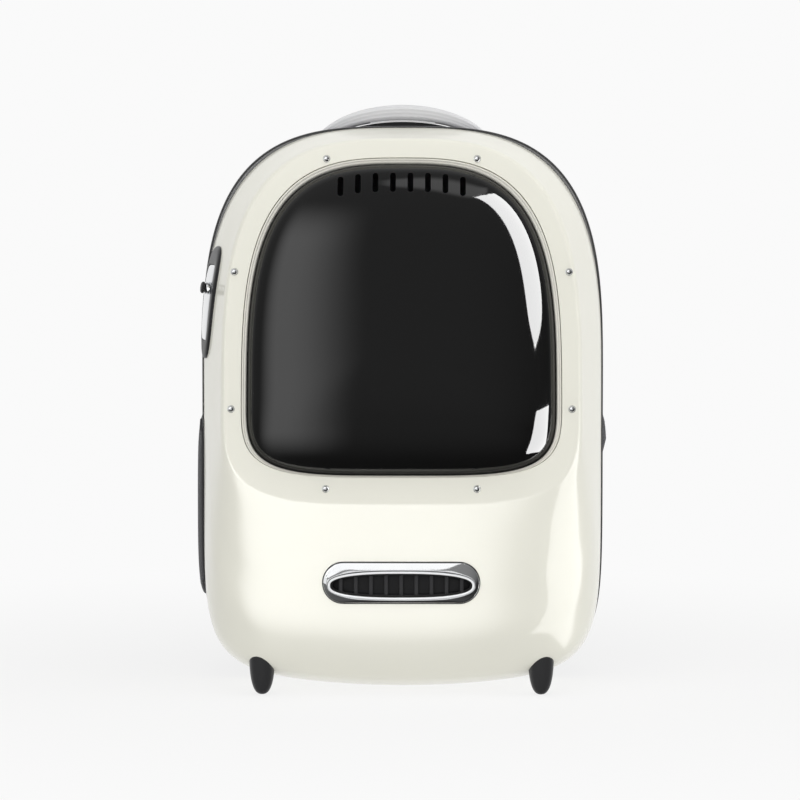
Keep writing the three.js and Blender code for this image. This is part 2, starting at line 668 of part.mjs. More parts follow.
// A soft band through its stations: a flat rounded section across the line of the strap.
function makeBand(stations, sign, { sides, steps, squareness }) {
  const rows = smoothRows(stations, steps);
  const line = rows.map(({ x, y, z }) => new THREE.Vector3(sign * x, y, z));
  const loops = rows.map(({ width, thickness }, i) => {
    const { away, across } = bandAxes(line, i);
    return angles(sides).map((corner) => {
      const turn = corner + Math.PI / sides;
      const r = ovalRadius(turn, width / 2, thickness / 2, squareness);
      const out = away.clone().multiplyScalar(r * Math.sin(turn));
      return line[i].clone().addScaledVector(across, r * Math.cos(turn)).add(out);
    });
  });
  return cut(loft(loops), backBlank);
}

// The strap's lower end on the right side, where the buckle and then the webbing follow it.
const strapLine = smoothRows(STRAP_STATIONS, STRAP_MESH.steps)
  .map(({ x, y, z }) => new THREE.Vector3(x, y, z));
const strapEnd = strapLine.at(-1);
const strapEndAxes = bandAxes(strapLine, strapLine.length - 1);
const afterStrap = (distance) => strapEnd.clone().addScaledVector(strapEndAxes.run, distance);

function webbingStations() {
  const { x, y, z } = afterStrap(2 * GAP + BUCKLE.height);
  return [{ ...WEBBING_STATIONS[0], x, y, z }, ...WEBBING_STATIONS];
}

function makeStrapBuckle(sign) {
  const { width, height, thickness } = BUCKLE;
  const { run, away, across } = strapEndAxes;
  const turn = new THREE.Matrix4().makeBasis(across, away, run.clone().negate());
  const { x, y, z } = afterStrap(GAP + height / 2);
  const bar = new THREE.BoxGeometry(width, thickness, height).applyMatrix4(turn).translate(x, y, z);
  return sign > 0 ? bar : facingOut(bar.scale(-1, 1, 1));
}

// Assembly

const carrier = new THREE.Group();

function add(name, geometry, material) {
  const mesh = new THREE.Mesh(geometry, material);
  mesh.name = name;
  carrier.add(mesh);
}

add('front_shell', makeFrontShell(), gloss_white);
add('back_shell', makeBackShell(), grey_fabric);
add('seam_zip', makeSeamZip(), zip_black);
add('visor', makeVisor(), smoked_window);
add('visor_gasket', makeVisorGasket(), clear_trim);

RIVET_SPOTS.forEach(({ x, z }, row) => {
  add(`rivet_left_${row + 1}`, makeRivet(-x, z), chrome);
  add(`rivet_right_${row + 1}`, makeRivet(x, z), chrome);
});

add('vent_bezel', makeVentBezel(), chrome);
add('vent_grille', makeVentGrille(), black_plastic);

for (const [end, y] of [['front', FOOT.yFront], ['back', FOOT.yBack]]) {
  add(`foot_${end}_left`, makeFoot(-FOOT.x, y), foot_rubber);
  add(`foot_${end}_right`, makeFoot(FOOT.x, y), foot_rubber);
}

add('carry_handle', makeCarryHandle(), handle_grey);
add('handle_base', makeHandleBase(), black_plastic);
for (const pocket of POCKET_SIDES) add(`pocket_${pocket.side}`, makePocket(pocket), charcoal_fabric);

add('latch_base', makeLatchBase(), black_plastic);
add('latch_bar', makeLatchBar(), chrome);
add('latch_collar', makeLatchCollar(), chrome);
add('latch_knob', makeLatchKnob(), black_plastic);

add('back_pad', makeBackPad(), charcoal_fabric);
for (const [side, sign] of [['left', -1], ['right', 1]]) {
  add(`strap_${side}`, makeBand(STRAP_STATIONS, sign, STRAP_MESH), charcoal_fabric);
  add(`webbing_${side}`, makeBand(webbingStations(), sign, WEBBING_MESH), charcoal_fabric);
  add(`buckle_${side}`, makeStrapBuckle(sign), black_plastic);
}

// The origin is the middle of the footprint, on the floor.
const box = new THREE.Box3().setFromObject(carrier);
const middle = box.getCenter(new THREE.Vector3());
carrier.position.set(-middle.x, -middle.y, -box.min.z);

export default carrier;
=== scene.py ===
"""Pet carrier backpack: the finishes, trims and soft parts, built around the packed CAD frame.

Shapes are drawn in millimetres from the seam plane (x to the right when looking at the window,
y behind the seam, z up) and are moved to the frame's metres when a mesh is made.
"""

import math

import bmesh
import bpy
import numpy as np
from bpy.props import FloatProperty, FloatVectorProperty, IntProperty, PointerProperty
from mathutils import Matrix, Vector
from mathutils.bvhtree import BVHTree


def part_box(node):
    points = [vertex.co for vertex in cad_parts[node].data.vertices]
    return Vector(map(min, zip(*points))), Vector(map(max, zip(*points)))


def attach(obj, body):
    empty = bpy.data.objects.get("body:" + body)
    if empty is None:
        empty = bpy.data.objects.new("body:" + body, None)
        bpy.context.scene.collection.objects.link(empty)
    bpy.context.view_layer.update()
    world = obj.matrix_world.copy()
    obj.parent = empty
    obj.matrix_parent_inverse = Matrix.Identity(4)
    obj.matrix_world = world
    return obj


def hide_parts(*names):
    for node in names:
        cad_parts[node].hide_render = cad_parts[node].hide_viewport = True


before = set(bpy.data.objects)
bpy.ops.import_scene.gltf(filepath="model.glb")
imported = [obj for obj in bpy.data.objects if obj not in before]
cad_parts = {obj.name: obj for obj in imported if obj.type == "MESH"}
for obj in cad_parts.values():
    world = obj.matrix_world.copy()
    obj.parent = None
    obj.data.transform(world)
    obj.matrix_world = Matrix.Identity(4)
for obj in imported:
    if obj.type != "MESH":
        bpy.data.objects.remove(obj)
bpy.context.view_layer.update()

bl_info = {
    "name": "Pet Carrier Backpack",
    "version": (1, 0, 0),
    "blender": (4, 5, 0),
    "location": "View3D > Sidebar > Carrier",
    "description": "Builds the shell, window, trims and soft parts of a pet carrier backpack",
    "category": "Add Mesh",
}

BODY = "root"
MM = 1000.0
GAP = 0.4
SEAM_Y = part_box("seam_zip")[0].y * MM - GAP
FLOOR_Z = 4.2
FRAME_SHIFT = np.array([0.0, SEAM_Y, -FLOOR_Z])
SIDES = {"left": -1, "right": 1}
FORWARDS = (0.0, -1.0, 0.0)
BACKWARDS = (0.0, 1.0, 0.0)
# A distance from the middle that lies outside the body, and a length that counts as none.
FAR = 400.0
TINY = 1e-12

# Body: sections of the front shell and of the soft back, as in the solids

WIDE_Z = 238.0
RING_DEPTH = 104.0
LEAN = math.tan(math.radians(12))
BACK_DEPTH = 106.0
FRONT, BACK = -1, 1
CROWN_POWER = {FRONT: 3.05, BACK: 3.22}
# Columns of a section: half width, top, bottom, corner, sag, depth, chin.
FRONT_SECTIONS = (
    (122.5, 415.5, 172.5, 4.3, 0, 104, 0),
    (134.6, 427.6, 154.0, 4.2, 0, 104, 0),
    (137.4, 429.8, 148.0, 4.3, 0, 101, 3),
    (141.0, 431.6, 121.0, 4.7, 2, 85, 19.5),
    (145.0, 433.4, 86.0, 5.2, 5, 67, 39),
    (149.0, 435.0, 46.0, 6.4, 10, 49, 55),
    (152.6, 436.6, 17.0, 7.4, 15, 32, 57),
    (155.4, 438.0, 6.0, 8.0, 18, 16, 32),
    (157.0, 439.0, 6.0, 8.2, 18, 0, 0),
)
BACK_SECTIONS = (
    (156.0, 437.6, 7.0, 8.0, 18, 6.2, 0),
    (157.5, 435.8, 6.5, 7.6, 17, 40, 0),
    (154.0, 431.0, 11.0, 6.0, 15, 78, 0),
    (146.0, 423.0, 22.0, 5.4, 12, 98, 0),
    (130.0, 408.0, 40.0, 5.0, 8, BACK_DEPTH, 0),
    (70.0, 320.0, 130.0, 4.0, 3, BACK_DEPTH, 0),
)
BODY_MESH = {"columns": 360, "front_steps": 12, "back_steps": 8, "inner_steps": 2, "passes": 5}
SHELL_WALL = 3.0
BACK_WALL = 3.0
ZIP = {"front": GAP, "back": 5.8, "proud": 1.3, "sunk": 2.6}


def smooth_rows(table, steps):
    """Rows between the tabled ones, by curves that never overshoot."""
    table = np.array(table, float)
    run = np.diff(table, axis=0)
    before = np.vstack([run[:1], run[:-1]])
    after = np.vstack([run[1:], run[-1:]])

    def slope(first, second):
        same_way = first * second > 0
        total = np.where(same_way, first + second, 1.0)
        return np.where(same_way, 2 * first * second / total, 0.0)

    start, end = slope(before, run)[:, None], slope(run, after)[:, None]
    t = (np.arange(steps) / steps)[None, :, None]
    rise = 3 * t**2 - 2 * t**3
    rows = (1 - rise) * table[:-1, None] + rise * table[1:, None]
    rows = rows + (t**3 - 2 * t**2 + t) * start + (t**3 - t**2) * end
    return np.vstack([rows.reshape(-1, table.shape[1]), table[-1:]])


def turns(count):
    """Even angles of a whole turn."""
    return 2 * math.pi * np.arange(count) / count


def unit(vectors):
    """The vectors at a length of one."""
    return vectors / (np.linalg.norm(vectors, axis=-1, keepdims=True) + TINY)


def all_towards(direction, count):
    """The same direction for each of a number of points."""
    return np.tile(np.array(direction, float), (count, 1))


def squarer(share, power):
    """A sine or cosine drawn towards the corners of a squared oval."""
    return np.sign(share) * np.abs(share) ** (2 / power)


def oval_radius(angle, half_x, half_z, power):
    """Distance from the middle of a squared oval to its edge, in the direction of an angle."""
    across, up = np.abs(np.cos(angle)) / half_x, np.abs(np.sin(angle)) / half_z
    return (across**power + up**power) ** (-1 / power)


def stadium_radius(angle, half_x, half_z):
    """The same for a lying stadium."""
    run = half_x - half_z
    across, up = np.abs(np.cos(angle)), np.abs(np.sin(angle))
    end = run * across + np.sqrt(np.maximum(half_z**2 - (run * up) ** 2, 0.0))
    return np.where(across * half_z <= run * up, half_z / np.maximum(up, TINY), end)


def section_loops(rows, columns, facing):
    """Closed loops of the body: an arched top, squarer lower corners and a drooping bottom."""
    half_width, top, bottom, corner, sag, depth, chin = np.array(rows, float).T[:, :, None]
    turn = turns(columns)[None]
    upper = np.sin(turn) >= 0
    height = np.where(upper, top - WIDE_Z, WIDE_Z - bottom - sag)
    angle = np.arctan2(np.sin(turn) * height, np.cos(turn) * half_width)
    power = np.where(upper, CROWN_POWER[facing], corner)
    radius = oval_radius(angle, half_width, height, power)
    x, rise = radius * np.cos(angle), radius * np.sin(angle)
    fall = np.where(upper, 0.0, -rise / height)
    z = WIDE_Z + rise - sag * fall**2 * (1 - (x / half_width) ** 2)
    if facing == BACK:
        y = np.broadcast_to(depth, x.shape)
    else:
        y = -depth * (1 - LEAN * (z - WIDE_Z) / RING_DEPTH) - chin * fall**2
    return np.stack([x, y, z], axis=-1)


def soften(loops, passes):
    """The loops with their bends eased from row to row, so that reflections run on smoothly."""
    for _ in range(passes):
        first, last = 2 * loops[:1] - loops[1:2], 2 * loops[-1:] - loops[-2:-1]
        around = np.concatenate([first, loops, last])
        loops = (around[:-2] + 2 * around[1:-1] + around[2:]) / 4
    return loops


def loop_normals(loops):
    """Outward unit normals of a skin through loops, outward being away from the Y axis at the side."""
    along = np.roll(loops, -1, axis=1) - np.roll(loops, 1, axis=1)
    across = np.gradient(loops, axis=0)
    normals = unit(np.cross(along, across))
    middle = len(loops) // 2
    return normals * np.sign(normals[middle, 0, 0])


def body_loops(table, steps, facing):
    """The body's skin on one side of the seam, as closed loops from the first section to the last."""
    loops = section_loops(smooth_rows(table, steps), BODY_MESH["columns"], facing)
    return soften(loops, BODY_MESH["passes"])


FRONT_LOOPS = body_loops(FRONT_SECTIONS, BODY_MESH["front_steps"], FRONT)
BACK_LOOPS = body_loops(BACK_SECTIONS, BODY_MESH["back_steps"], BACK)


# Meshes from loops


def grid_faces(rows, columns, ring):
    """Quads between neighbouring loops; a ring also joins the last loop to the first."""
    row = np.arange(rows if ring else rows - 1)[:, None]
    column = np.arange(columns)[None]
    following, beside = (row + 1) % rows, (column + 1) % columns
    corners = (row * columns + column, row * columns + beside, following * columns + beside,
               following * columns + column)
    return np.stack(np.broadcast_arrays(*corners), axis=-1).reshape(-1, 4)


def skin(loops, ring=False):
    """Points, faces and cloth coordinates of a skin through closed loops, with fans over open ends."""
    loops = np.asarray(loops, float)
    rows, columns = loops.shape[:2]
    points = loops.reshape(-1, 3)
    quads = grid_faces(rows, columns, ring)
    around = np.linalg.norm(np.roll(loops, -1, axis=1) - loops, axis=-1).mean(axis=0)
    along = np.linalg.norm(np.roll(loops, -1, axis=0) - loops, axis=-1).mean(axis=1)
    u = np.concatenate([[0], np.cumsum(around)]) / MM
    v = np.concatenate([[0], np.cumsum(along)]) / MM
    row, column = np.divmod(np.arange(len(quads)), columns)
    weave = np.stack([np.stack([u[column + du], v[row + dv]], axis=-1)
                      for du, dv in ((0, 0), (1, 0), (1, 1), (0, 1))], axis=1).reshape(-1, 2)
    faces = quads.tolist()
    if not ring:
        for end in (0, rows - 1):
            hub = len(points)
            points = np.vstack([points, loops[end].mean(axis=0)])
            edge = [end * columns + i for i in range(columns)]
            fan = [[hub, edge[i], edge[(i + 1) % columns]] for i in range(columns)]
            faces += fan
            flat = points[np.array(fan).ravel()]
            weave = np.vstack([weave, flat[:, [0, 2]] / MM])
    return points, faces, weave


def to_frame(points):
    """Drawn millimetres from the seam plane as metres in the CAD frame."""
    return (np.asarray(points, float) + FRAME_SHIFT) / MM


def from_frame(points):
    """Metres in the CAD frame as drawn millimetres."""
    return np.asarray(points, float) * MM - FRAME_SHIFT


def add_piece(name, *parts):
    """One smooth object from (skin, finish) pairs, at the origin with its place in its mesh."""
    points, faces, weaves, slots, start = [], [], [], [], 0
    finishes = []
    for (part_points, part_faces, weave), material in parts:
        if material not in finishes:
            finishes.append(material)
        points.append(to_frame(part_points))
        faces += [[start + i for i in face] for face in part_faces]
        weaves.append(weave)
        slots += [finishes.index(material)] * len(part_faces)
        start += len(part_points)
    mesh = bpy.data.meshes.new(name)
    mesh.from_pydata(np.vstack(points).tolist(), [], faces)
    mesh.uv_layers.new(name="weave").data.foreach_set("uv", np.vstack(weaves).ravel())
    for material in finishes:
        mesh.materials.append(material)
    mesh.polygons.foreach_set("material_index", slots)
    face_outwards(mesh)
    mesh.shade_smooth()
    return link(bpy.data.objects.new(name, mesh))


def link(piece):
    """The object, added to the scene."""
    bpy.context.scene.collection.objects.link(piece)
    return piece


def face_outwards(mesh):
    """Turns the faces of closed skins outwards."""
    work = bmesh.new()
    work.from_mesh(mesh)
    bmesh.ops.recalc_face_normals(work, faces=work.faces)
    work.to_mesh(mesh)
    work.free()


def settle(piece, slot, *nodes):
    """The piece rides on the body, takes a finish of the record and stands for CAD nodes."""
    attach(piece, BODY)
    if nodes:
        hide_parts(*nodes)
    return piece


def made_plain(piece):
    """The piece as its modifiers show it, as a plain mesh without them."""
    depsgraph = bpy.context.evaluated_depsgraph_get()
    mesh = bpy.data.meshes.new_from_object(piece.evaluated_get(depsgraph))
    piece.modifiers.clear()
    piece.data = mesh
    return piece


CUT_SHARP = math.radians(35)


def carve(piece, cutter_skins):
    """Cuts closed skins out of a piece and keeps the cut edges crisp."""
    cutter = add_piece("cutter", *[(part, piece.data.materials[0]) for part in cutter_skins])
    modifier = piece.modifiers.new("cut", "BOOLEAN")
    modifier.operation, modifier.solver, modifier.object = "DIFFERENCE", "EXACT", cutter
    made_plain(piece)
    bpy.data.objects.remove(cutter)
    piece.data.set_sharp_from_angle(angle=CUT_SHARP)
    return piece


def prism(outline, front, back):
    """A closed skin along Y through an outline of (x, z) points."""
    outline = np.asarray(outline, float)
    return skin([np.column_stack([outline[:, 0], np.full(len(outline), y), outline[:, 1]])
                 for y in (front, back)])


def squared_oval(half_x, half_z, power, columns):
    """Points (x, z) of a squared oval about the origin."""
    turn = turns(columns)
    return np.column_stack([half_x * squarer(np.cos(turn), power), half_z * squarer(np.sin(turn), power)])


def lengths_along(line):
    """How far along a line of points each of them is."""
    return np.concatenate([[0], np.cumsum(np.linalg.norm(np.diff(line, axis=0), axis=1))])


def points_at(distances, lengths, line):
    """Points of a line at the given distances along it."""
    return np.column_stack([np.interp(distances, lengths, column) for column in line.T])


def evenly(outline, count):
    """Points of a closed outline at equal distances along it."""
    closed = np.vstack([outline, outline[:1]])
    lengths = lengths_along(closed)
    return points_at(np.arange(count) * lengths[-1] / count, lengths, closed)


def stadium(half_x, half_z, columns):
    """Points (x, z) of a stadium about the origin."""
    radius = min(half_x, half_z)
    turn = turns(columns) + math.pi / columns
    run = np.array([half_x - radius, half_z - radius])
    circle = np.column_stack([np.cos(turn), np.sin(turn)])
    return radius * circle + run * np.sign(circle)


# Finding places on the body


def face_tree(loops):
    """A skin through closed loops that rays can be sent at."""
    return BVHTree.FromPolygons(loops.reshape(-1, 3).tolist(), grid_faces(*loops.shape[:2], False).tolist())


FRONT_FACE = face_tree(FRONT_LOOPS)
BACK_FACE = face_tree(BACK_LOOPS)
# How far past the zip's edges the flank is taken as the zip.
ZIP_MARGIN = 1.0


def meet(face, start, direction):
    """The first point of a body surface along a ray, or None, and its normal towards the start."""
    point, normal, _, _ = face.ray_cast(Vector(start), Vector(direction))
    if point is not None and normal.dot(Vector(direction)) > 0:
        normal = -normal
    return point, normal


def front_at(x, z):
    """The point of the front shell behind a point of the front view, and its normal."""
    return meet(FRONT_FACE, (x, -FAR, z), (0, 1, 0))


def on_front(outline, lift):
    """A loop on the front shell's face through (x, z) points, lifted off it along -Y."""
    return np.array([(x, front_at(x, z)[0].y - lift, z) for x, z in outline])


def flank_x(side, y, z):
    """Distance from the middle to the body's flank, over the zip where it crosses."""
    face = FRONT_FACE if y < 0 else BACK_FACE
    zip_end = ZIP["back"] + ZIP_MARGIN
    depth = y if y < 0 else max(y, zip_end)
    point, _ = meet(face, (side * FAR, depth, z), (-side, 0, 0))
    reach = abs(point.x)
    if -ZIP_MARGIN < y < zip_end:
        seam, _ = meet(FRONT_FACE, (side * FAR, -GAP, z), (-side, 0, 0))
        reach = abs(seam.x) + ZIP["proud"]
    return reach


# Finishes

# Most of a noise lies in this span, which is stretched over the range that is wanted.
NOISE_SPAN = (0.3, 0.7)
MOULD = {"tone_scale": 9.0, "dark": 0.97, "light": 1.02, "gloss_scale": 35.0, "gloss_detail": 4.0}
WEAVE = {"fleck_scale": 0.35, "fleck_detail": 4.0, "groove_shade_share": 0.55, "fleck_share": 0.6,
         "roughness": (0.78, 0.95)}
AIR_MESH = {"unevenness": 0.25, "hole": 0.18, "rim": 0.42, "dark": 0.35, "light": 1.15, "gloss_scale": 0.3,
            "roughness": (0.8, 0.95)}
POLISH = {"tone_scale": 60.0, "dark": 0.94, "gloss_scale": 220.0, "gloss_detail": 3.0,
          "roughness": (0.05, 0.1), "grain": 300.0, "depth": 0.00001}
RIBS = {"tone_gain": 0.3, "tone_middle": 0.5, "gloss_scale": 200.0, "roughness": (0.5, 0.8)}


def wire(tree, kind, settings=None, **inputs):
    """A shader node whose inputs are values or other nodes' outputs.

    In a name, _ stands for a space; i0, i1 and so on are inputs by their number.
    """
    node = tree.nodes.new(f"ShaderNode{kind}")
    for name, value in (settings or {}).items():
        setattr(node, name, value)
    for name, value in inputs.items():
        key = int(name[1:]) if name[0] == "i" and name[1:].isdigit() else name.replace("_", " ")
        if isinstance(value, bpy.types.NodeSocket):
            tree.links.new(value, node.inputs[key])
        else:
            node.inputs[key].default_value = value
    return node


def new_finish(name, **sockets):
    """A material with a Principled shader, whose even values are set on the shader itself."""
    material = bpy.data.materials.new(name)
    material.use_nodes = True
    tree = material.node_tree
    shader = tree.nodes["Principled BSDF"]
    for socket, value in sockets.items():
        shader.inputs[socket.replace("_", " ")].default_value = value
    return material, tree, shader


def place_of(tree):
    """Places in the CAD frame, as every piece has its origin there."""
    return wire(tree, "TexCoord").outputs["Object"]


def cloth_of(tree):
    """Places on a piece's own cloth, in metres."""
    return wire(tree, "UVMap", {"uv_map": "weave"}).outputs["UV"]


def noise(tree, place, scale, detail=2.0):
    """The values of a noise at places."""
    return wire(tree, "TexNoise", Vector=place, Scale=scale, Detail=detail).outputs["Fac"]


def maths(tree, operation, first, second=0.0):
    """The result of an operation on one or two values."""
    return wire(tree, "Math", {"operation": operation}, i0=first, i1=second).outputs[0]


def shade(colour, factor):
    """A colour made lighter or darker by a factor."""
    return tuple(min(1.0, channel * factor) for channel in colour)


def set_tone(tree, shader, value, dark, light):
    """Colour that runs from dark to light with a value."""
    node = wire(tree, "Mix", {"data_type": "RGBA"}, i0=value, i6=(*dark, 1.0), i7=(*light, 1.0))
    tree.links.new(node.outputs[2], shader.inputs["Base Color"])


def set_gloss(tree, shader, value, roughness):
    """Roughness that follows a noise over a range."""
    (start, end), (low, high) = NOISE_SPAN, roughness
    node = wire(tree, "MapRange", i0=value, i1=start, i2=end, i3=low, i4=high)
    tree.links.new(node.outputs["Result"], shader.inputs["Roughness"])


def set_relief(tree, shader, height, depth):
    """Fine bumps that follow a height."""
    bump = wire(tree, "Bump", Height=height, Distance=depth, Strength=1.0)
    tree.links.new(bump.outputs["Normal"], shader.inputs["Normal"])


def moulded(name, colour, roughness, grain, depth, **sockets):
    """Moulded plastic or rubber: faint tone changes, uneven gloss and a fine skin grain."""
    material, tree, shader = new_finish(name, **sockets)
    place = place_of(tree)
    tone = noise(tree, place, MOULD["tone_scale"])
    set_tone(tree, shader, tone, shade(colour, MOULD["dark"]), shade(colour, MOULD["light"]))
    set_gloss(tree, shader, noise(tree, place, MOULD["gloss_scale"], MOULD["gloss_detail"]), roughness)
    set_relief(tree, shader, noise(tree, place, grain), depth)
    return material


def woven(name, colour, thread, contrast, depth, **sockets):
    """Plain weave on the piece's own cloth coordinates, with threads of uneven tone."""
    material, tree, shader = new_finish(name, **sockets)
    cloth = cloth_of(tree)
    split = wire(tree, "SeparateXYZ", Vector=cloth)
    angles = [maths(tree, "MULTIPLY", split.outputs[axis], math.pi / thread) for axis in "XY"]
    warp, weft = [maths(tree, "ABSOLUTE", maths(tree, "SINE", angle)) for angle in angles]
    over = wire(tree, "TexChecker", Vector=cloth, Scale=1.0 / thread).outputs["Fac"]
    height = wire(tree, "Mix", {"data_type": "FLOAT"}, i0=over, i2=warp, i3=weft).outputs[0]
    fleck = noise(tree, cloth, WEAVE["fleck_scale"] / thread, WEAVE["fleck_detail"])
    # Painted shade: the colour darkens where the weave is low between threads; the flecks are the threads'
    # own uneven tone.
    tone = maths(tree, "ADD", maths(tree, "MULTIPLY", height, WEAVE["groove_shade_share"]),
                 maths(tree, "MULTIPLY", fleck, WEAVE["fleck_share"]))
    set_tone(tree, shader, tone, shade(colour, 1 - contrast), shade(colour, 1 + contrast))
    set_gloss(tree, shader, fleck, WEAVE["roughness"])
    set_relief(tree, shader, height, depth)
    return material


def spacer_mesh(name, colour, cell, depth, **sockets):
    """Padded air mesh: rows of small round holes in a knitted face."""
    material, tree, shader = new_finish(name, **sockets)
    cloth = cloth_of(tree)
    cells = wire(tree, "TexVoronoi", {"feature": "F1"}, Vector=cloth, Scale=1.0 / cell,
                 Randomness=AIR_MESH["unevenness"]).outputs["Distance"]
    # Painted shade: the holes are coloured dark for the shade inside them, and the knit round them lighter.
    rim = wire(tree, "MapRange", i0=cells, i1=AIR_MESH["hole"], i2=AIR_MESH["rim"]).outputs["Result"]
    set_tone(tree, shader, rim, shade(colour, AIR_MESH["dark"]), shade(colour, AIR_MESH["light"]))
    set_gloss(tree, shader, noise(tree, cloth, AIR_MESH["gloss_scale"] / cell), AIR_MESH["roughness"])
    set_relief(tree, shader, rim, depth)
    return material


def polished(name, colour):
    """Bright plated metal with a faintly uneven polish."""
    material, tree, shader = new_finish(name, Metallic=1.0)
    place = place_of(tree)
    set_tone(tree, shader, noise(tree, place, POLISH["tone_scale"]), shade(colour, POLISH["dark"]), colour)
    gloss = noise(tree, place, POLISH["gloss_scale"], POLISH["gloss_detail"])
    set_gloss(tree, shader, gloss, POLISH["roughness"])
    set_relief(tree, shader, noise(tree, place, POLISH["grain"]), POLISH["depth"])
    return material


def ribbed(name, colour, rib, pick_share, contrast, depth, **sockets):
    """A surface with ribs along its length, crossed by fine picks where it is woven."""
    material, tree, shader = new_finish(name, **sockets)
    split = wire(tree, "SeparateXYZ", Vector=cloth_of(tree))
    ribs = maths(tree, "SINE", maths(tree, "MULTIPLY", split.outputs["X"], 2 * math.pi / rib))
    picks = maths(tree, "SINE", maths(tree, "MULTIPLY", split.outputs["Y"], 4 * math.pi / rib))
    height = maths(tree, "ADD", ribs, maths(tree, "MULTIPLY", picks, pick_share))
    # Painted shade: the colour is darker in the grooves between ribs and picks.
    tone = wire(tree, "Math", {"operation": "MULTIPLY_ADD"}, i0=height, i1=RIBS["tone_gain"],
                i2=RIBS["tone_middle"]).outputs[0]
    set_tone(tree, shader, tone, shade(colour, 1 - contrast), shade(colour, 1 + contrast))
    set_gloss(tree, shader, noise(tree, place_of(tree), RIBS["gloss_scale"]), RIBS["roughness"])
    set_relief(tree, shader, height, depth)
    return material


# Columns of a finish: how it is made, its colour in the panel, how much lighter it is, the maker's values.
FINISHES = {
    "shell_gloss": (moulded, "shell", 1.0, dict(
        roughness=(0.3, 0.38), grain=700.0, depth=0.000006,
        Coat_Weight=0.45, Coat_Roughness=0.03, Specular_IOR_Level=0.2)),
    "window_smoked": (moulded, "window", 1.0, dict(
        roughness=(0.035, 0.05), grain=12.0, depth=0.00002, IOR=1.5)),
    "lip_trim": (moulded, "lip", 1.0, dict(roughness=(0.3, 0.4), grain=900.0, depth=0.00001)),
    "chrome_polish": (polished, "chrome", 1.0, {}),
    # A painted highlight: the bead inside the bezel takes the chrome's colour as pale plastic, so it shows
    # white all round.
    "bright_bead": (moulded, "chrome", 1.0, dict(roughness=(0.12, 0.2), grain=1500.0, depth=0.00001)),
    "satin_black": (moulded, "black_parts", 1.0, dict(roughness=(0.34, 0.46), grain=2200.0, depth=0.00003)),
    "peg_rubber": (moulded, "black_parts", 1.7, dict(roughness=(0.3, 0.4), grain=1600.0, depth=0.00003)),
    "grille_screen": (moulded, "black_parts", 1.1, dict(
        roughness=(0.5, 0.6), grain=2200.0, depth=0.00003, Specular_IOR_Level=0.2)),
    "grille_bars": (moulded, "black_parts", 2.4, dict(
        roughness=(0.5, 0.6), grain=2200.0, depth=0.00003, Specular_IOR_Level=0.2)),
    "zip_teeth": (moulded, "black_parts", 2.2, dict(roughness=(0.3, 0.4), grain=1800.0, depth=0.00001)),
    "handle_rubber": (ribbed, "handle", 1.0, dict(rib=0.0024, pick_share=0.0, contrast=0.07, depth=0.00006)),
    # Painted highlight: the handle's colour made paler for the welt along its lower edge.
    "handle_welt": (moulded, "handle", 1.5, dict(roughness=(0.35, 0.45), grain=1500.0, depth=0.00002)),
    "back_cloth": (woven, "back_cloth", 1.0, dict(
        thread=0.0011, contrast=0.16, depth=0.0002, Sheen_Weight=0.3)),
    "zip_tape": (woven, "back_cloth", 0.75, dict(thread=0.0008, contrast=0.25, depth=0.0001)),
    "pale_thread": (moulded, "back_cloth", 1.25, dict(roughness=(0.6, 0.7), grain=2500.0, depth=0.00004)),
    "pocket_cloth": (woven, "dark_cloth", 1.0, dict(
        thread=0.0010, contrast=0.3, depth=0.0002, Sheen_Weight=0.25)),
    "strap_cloth": (woven, "dark_cloth", 1.0, dict(
        thread=0.0012, contrast=0.25, depth=0.00022, Sheen_Weight=0.25)),
    "binding": (woven, "dark_cloth", 0.6, dict(
        thread=0.0009, contrast=0.2, depth=0.00015, Sheen_Weight=0.2)),
    "air_mesh": (spacer_mesh, "dark_cloth", 1.0, dict(cell=0.0042, depth=0.0006, Sheen_Weight=0.2)),
    "webbing": (ribbed, "dark_cloth", 0.8, dict(
        rib=0.0022, pick_share=0.5, contrast=0.3, depth=0.00015, Sheen_Weight=0.2)),
    "thread": (moulded, "dark_cloth", 2.6, dict(roughness=(0.6, 0.7), grain=2500.0, depth=0.00004)),
}


def finish(name):
    """The named finish, made at its first use in the colours of the panel."""
    made = bpy.data.materials.get(name)
    if made:
        return made
    maker, part, factor, values = FINISHES[name]
    colour = getattr(bpy.context.scene.carrier_colours, part)
    return maker(name, shade(colour, factor), **values)


# Geometry nodes: like items set along paths and on spots


# Share of the pitch over which a path's direction is taken.
PATH_STEP = 0.2


def along_path(line, pitch, closed=False):
    """Even places on a line of points with the direction along it at each."""
    line = np.asarray(line, float)
    if closed:
        line = np.vstack([line, line[:1]])
    lengths = lengths_along(line)
    count = max(2, round(lengths[-1] / pitch))
    at = (np.arange(count) + 0.5) * lengths[-1] / count
    step = PATH_STEP * pitch
    along = points_at(at + step, lengths, line) - points_at(at - step, lengths, line)
    return points_at(at, lengths, line), unit(along)


def places_object(name, places, along, out):
    """A cloud of vertices that carries the directions along and out of the surface."""
    mesh = bpy.data.meshes.new(name)
    mesh.from_pydata(to_frame(places).tolist(), [], [])
    for label, vectors in (("along", along), ("out", out)):
        layer = mesh.attributes.new(label, "FLOAT_VECTOR", "POINT")
        layer.data.foreach_set("vector", np.asarray(vectors, float).ravel())
    return link(bpy.data.objects.new(name, mesh))


def node_at(tree, kind, **inputs):
    """A geometry node whose inputs are values or other nodes' outputs; _ in a name stands for a space."""
    node = tree.nodes.new(kind)
    for name, value in inputs.items():
        socket = node.inputs[name.replace("_", " ")]
        if isinstance(value, bpy.types.NodeSocket):
            tree.links.new(value, socket)
        else:
            socket.default_value = value
    return node


def scaled(tree, item, x, y, z):
    """The item at a size for each of its axes."""
    size = node_at(tree, "ShaderNodeCombineXYZ", X=x, Y=y, Z=z)
    return node_at(tree, "GeometryNodeTransform", Geometry=item, Scale=size.outputs[0]).outputs["Geometry"]


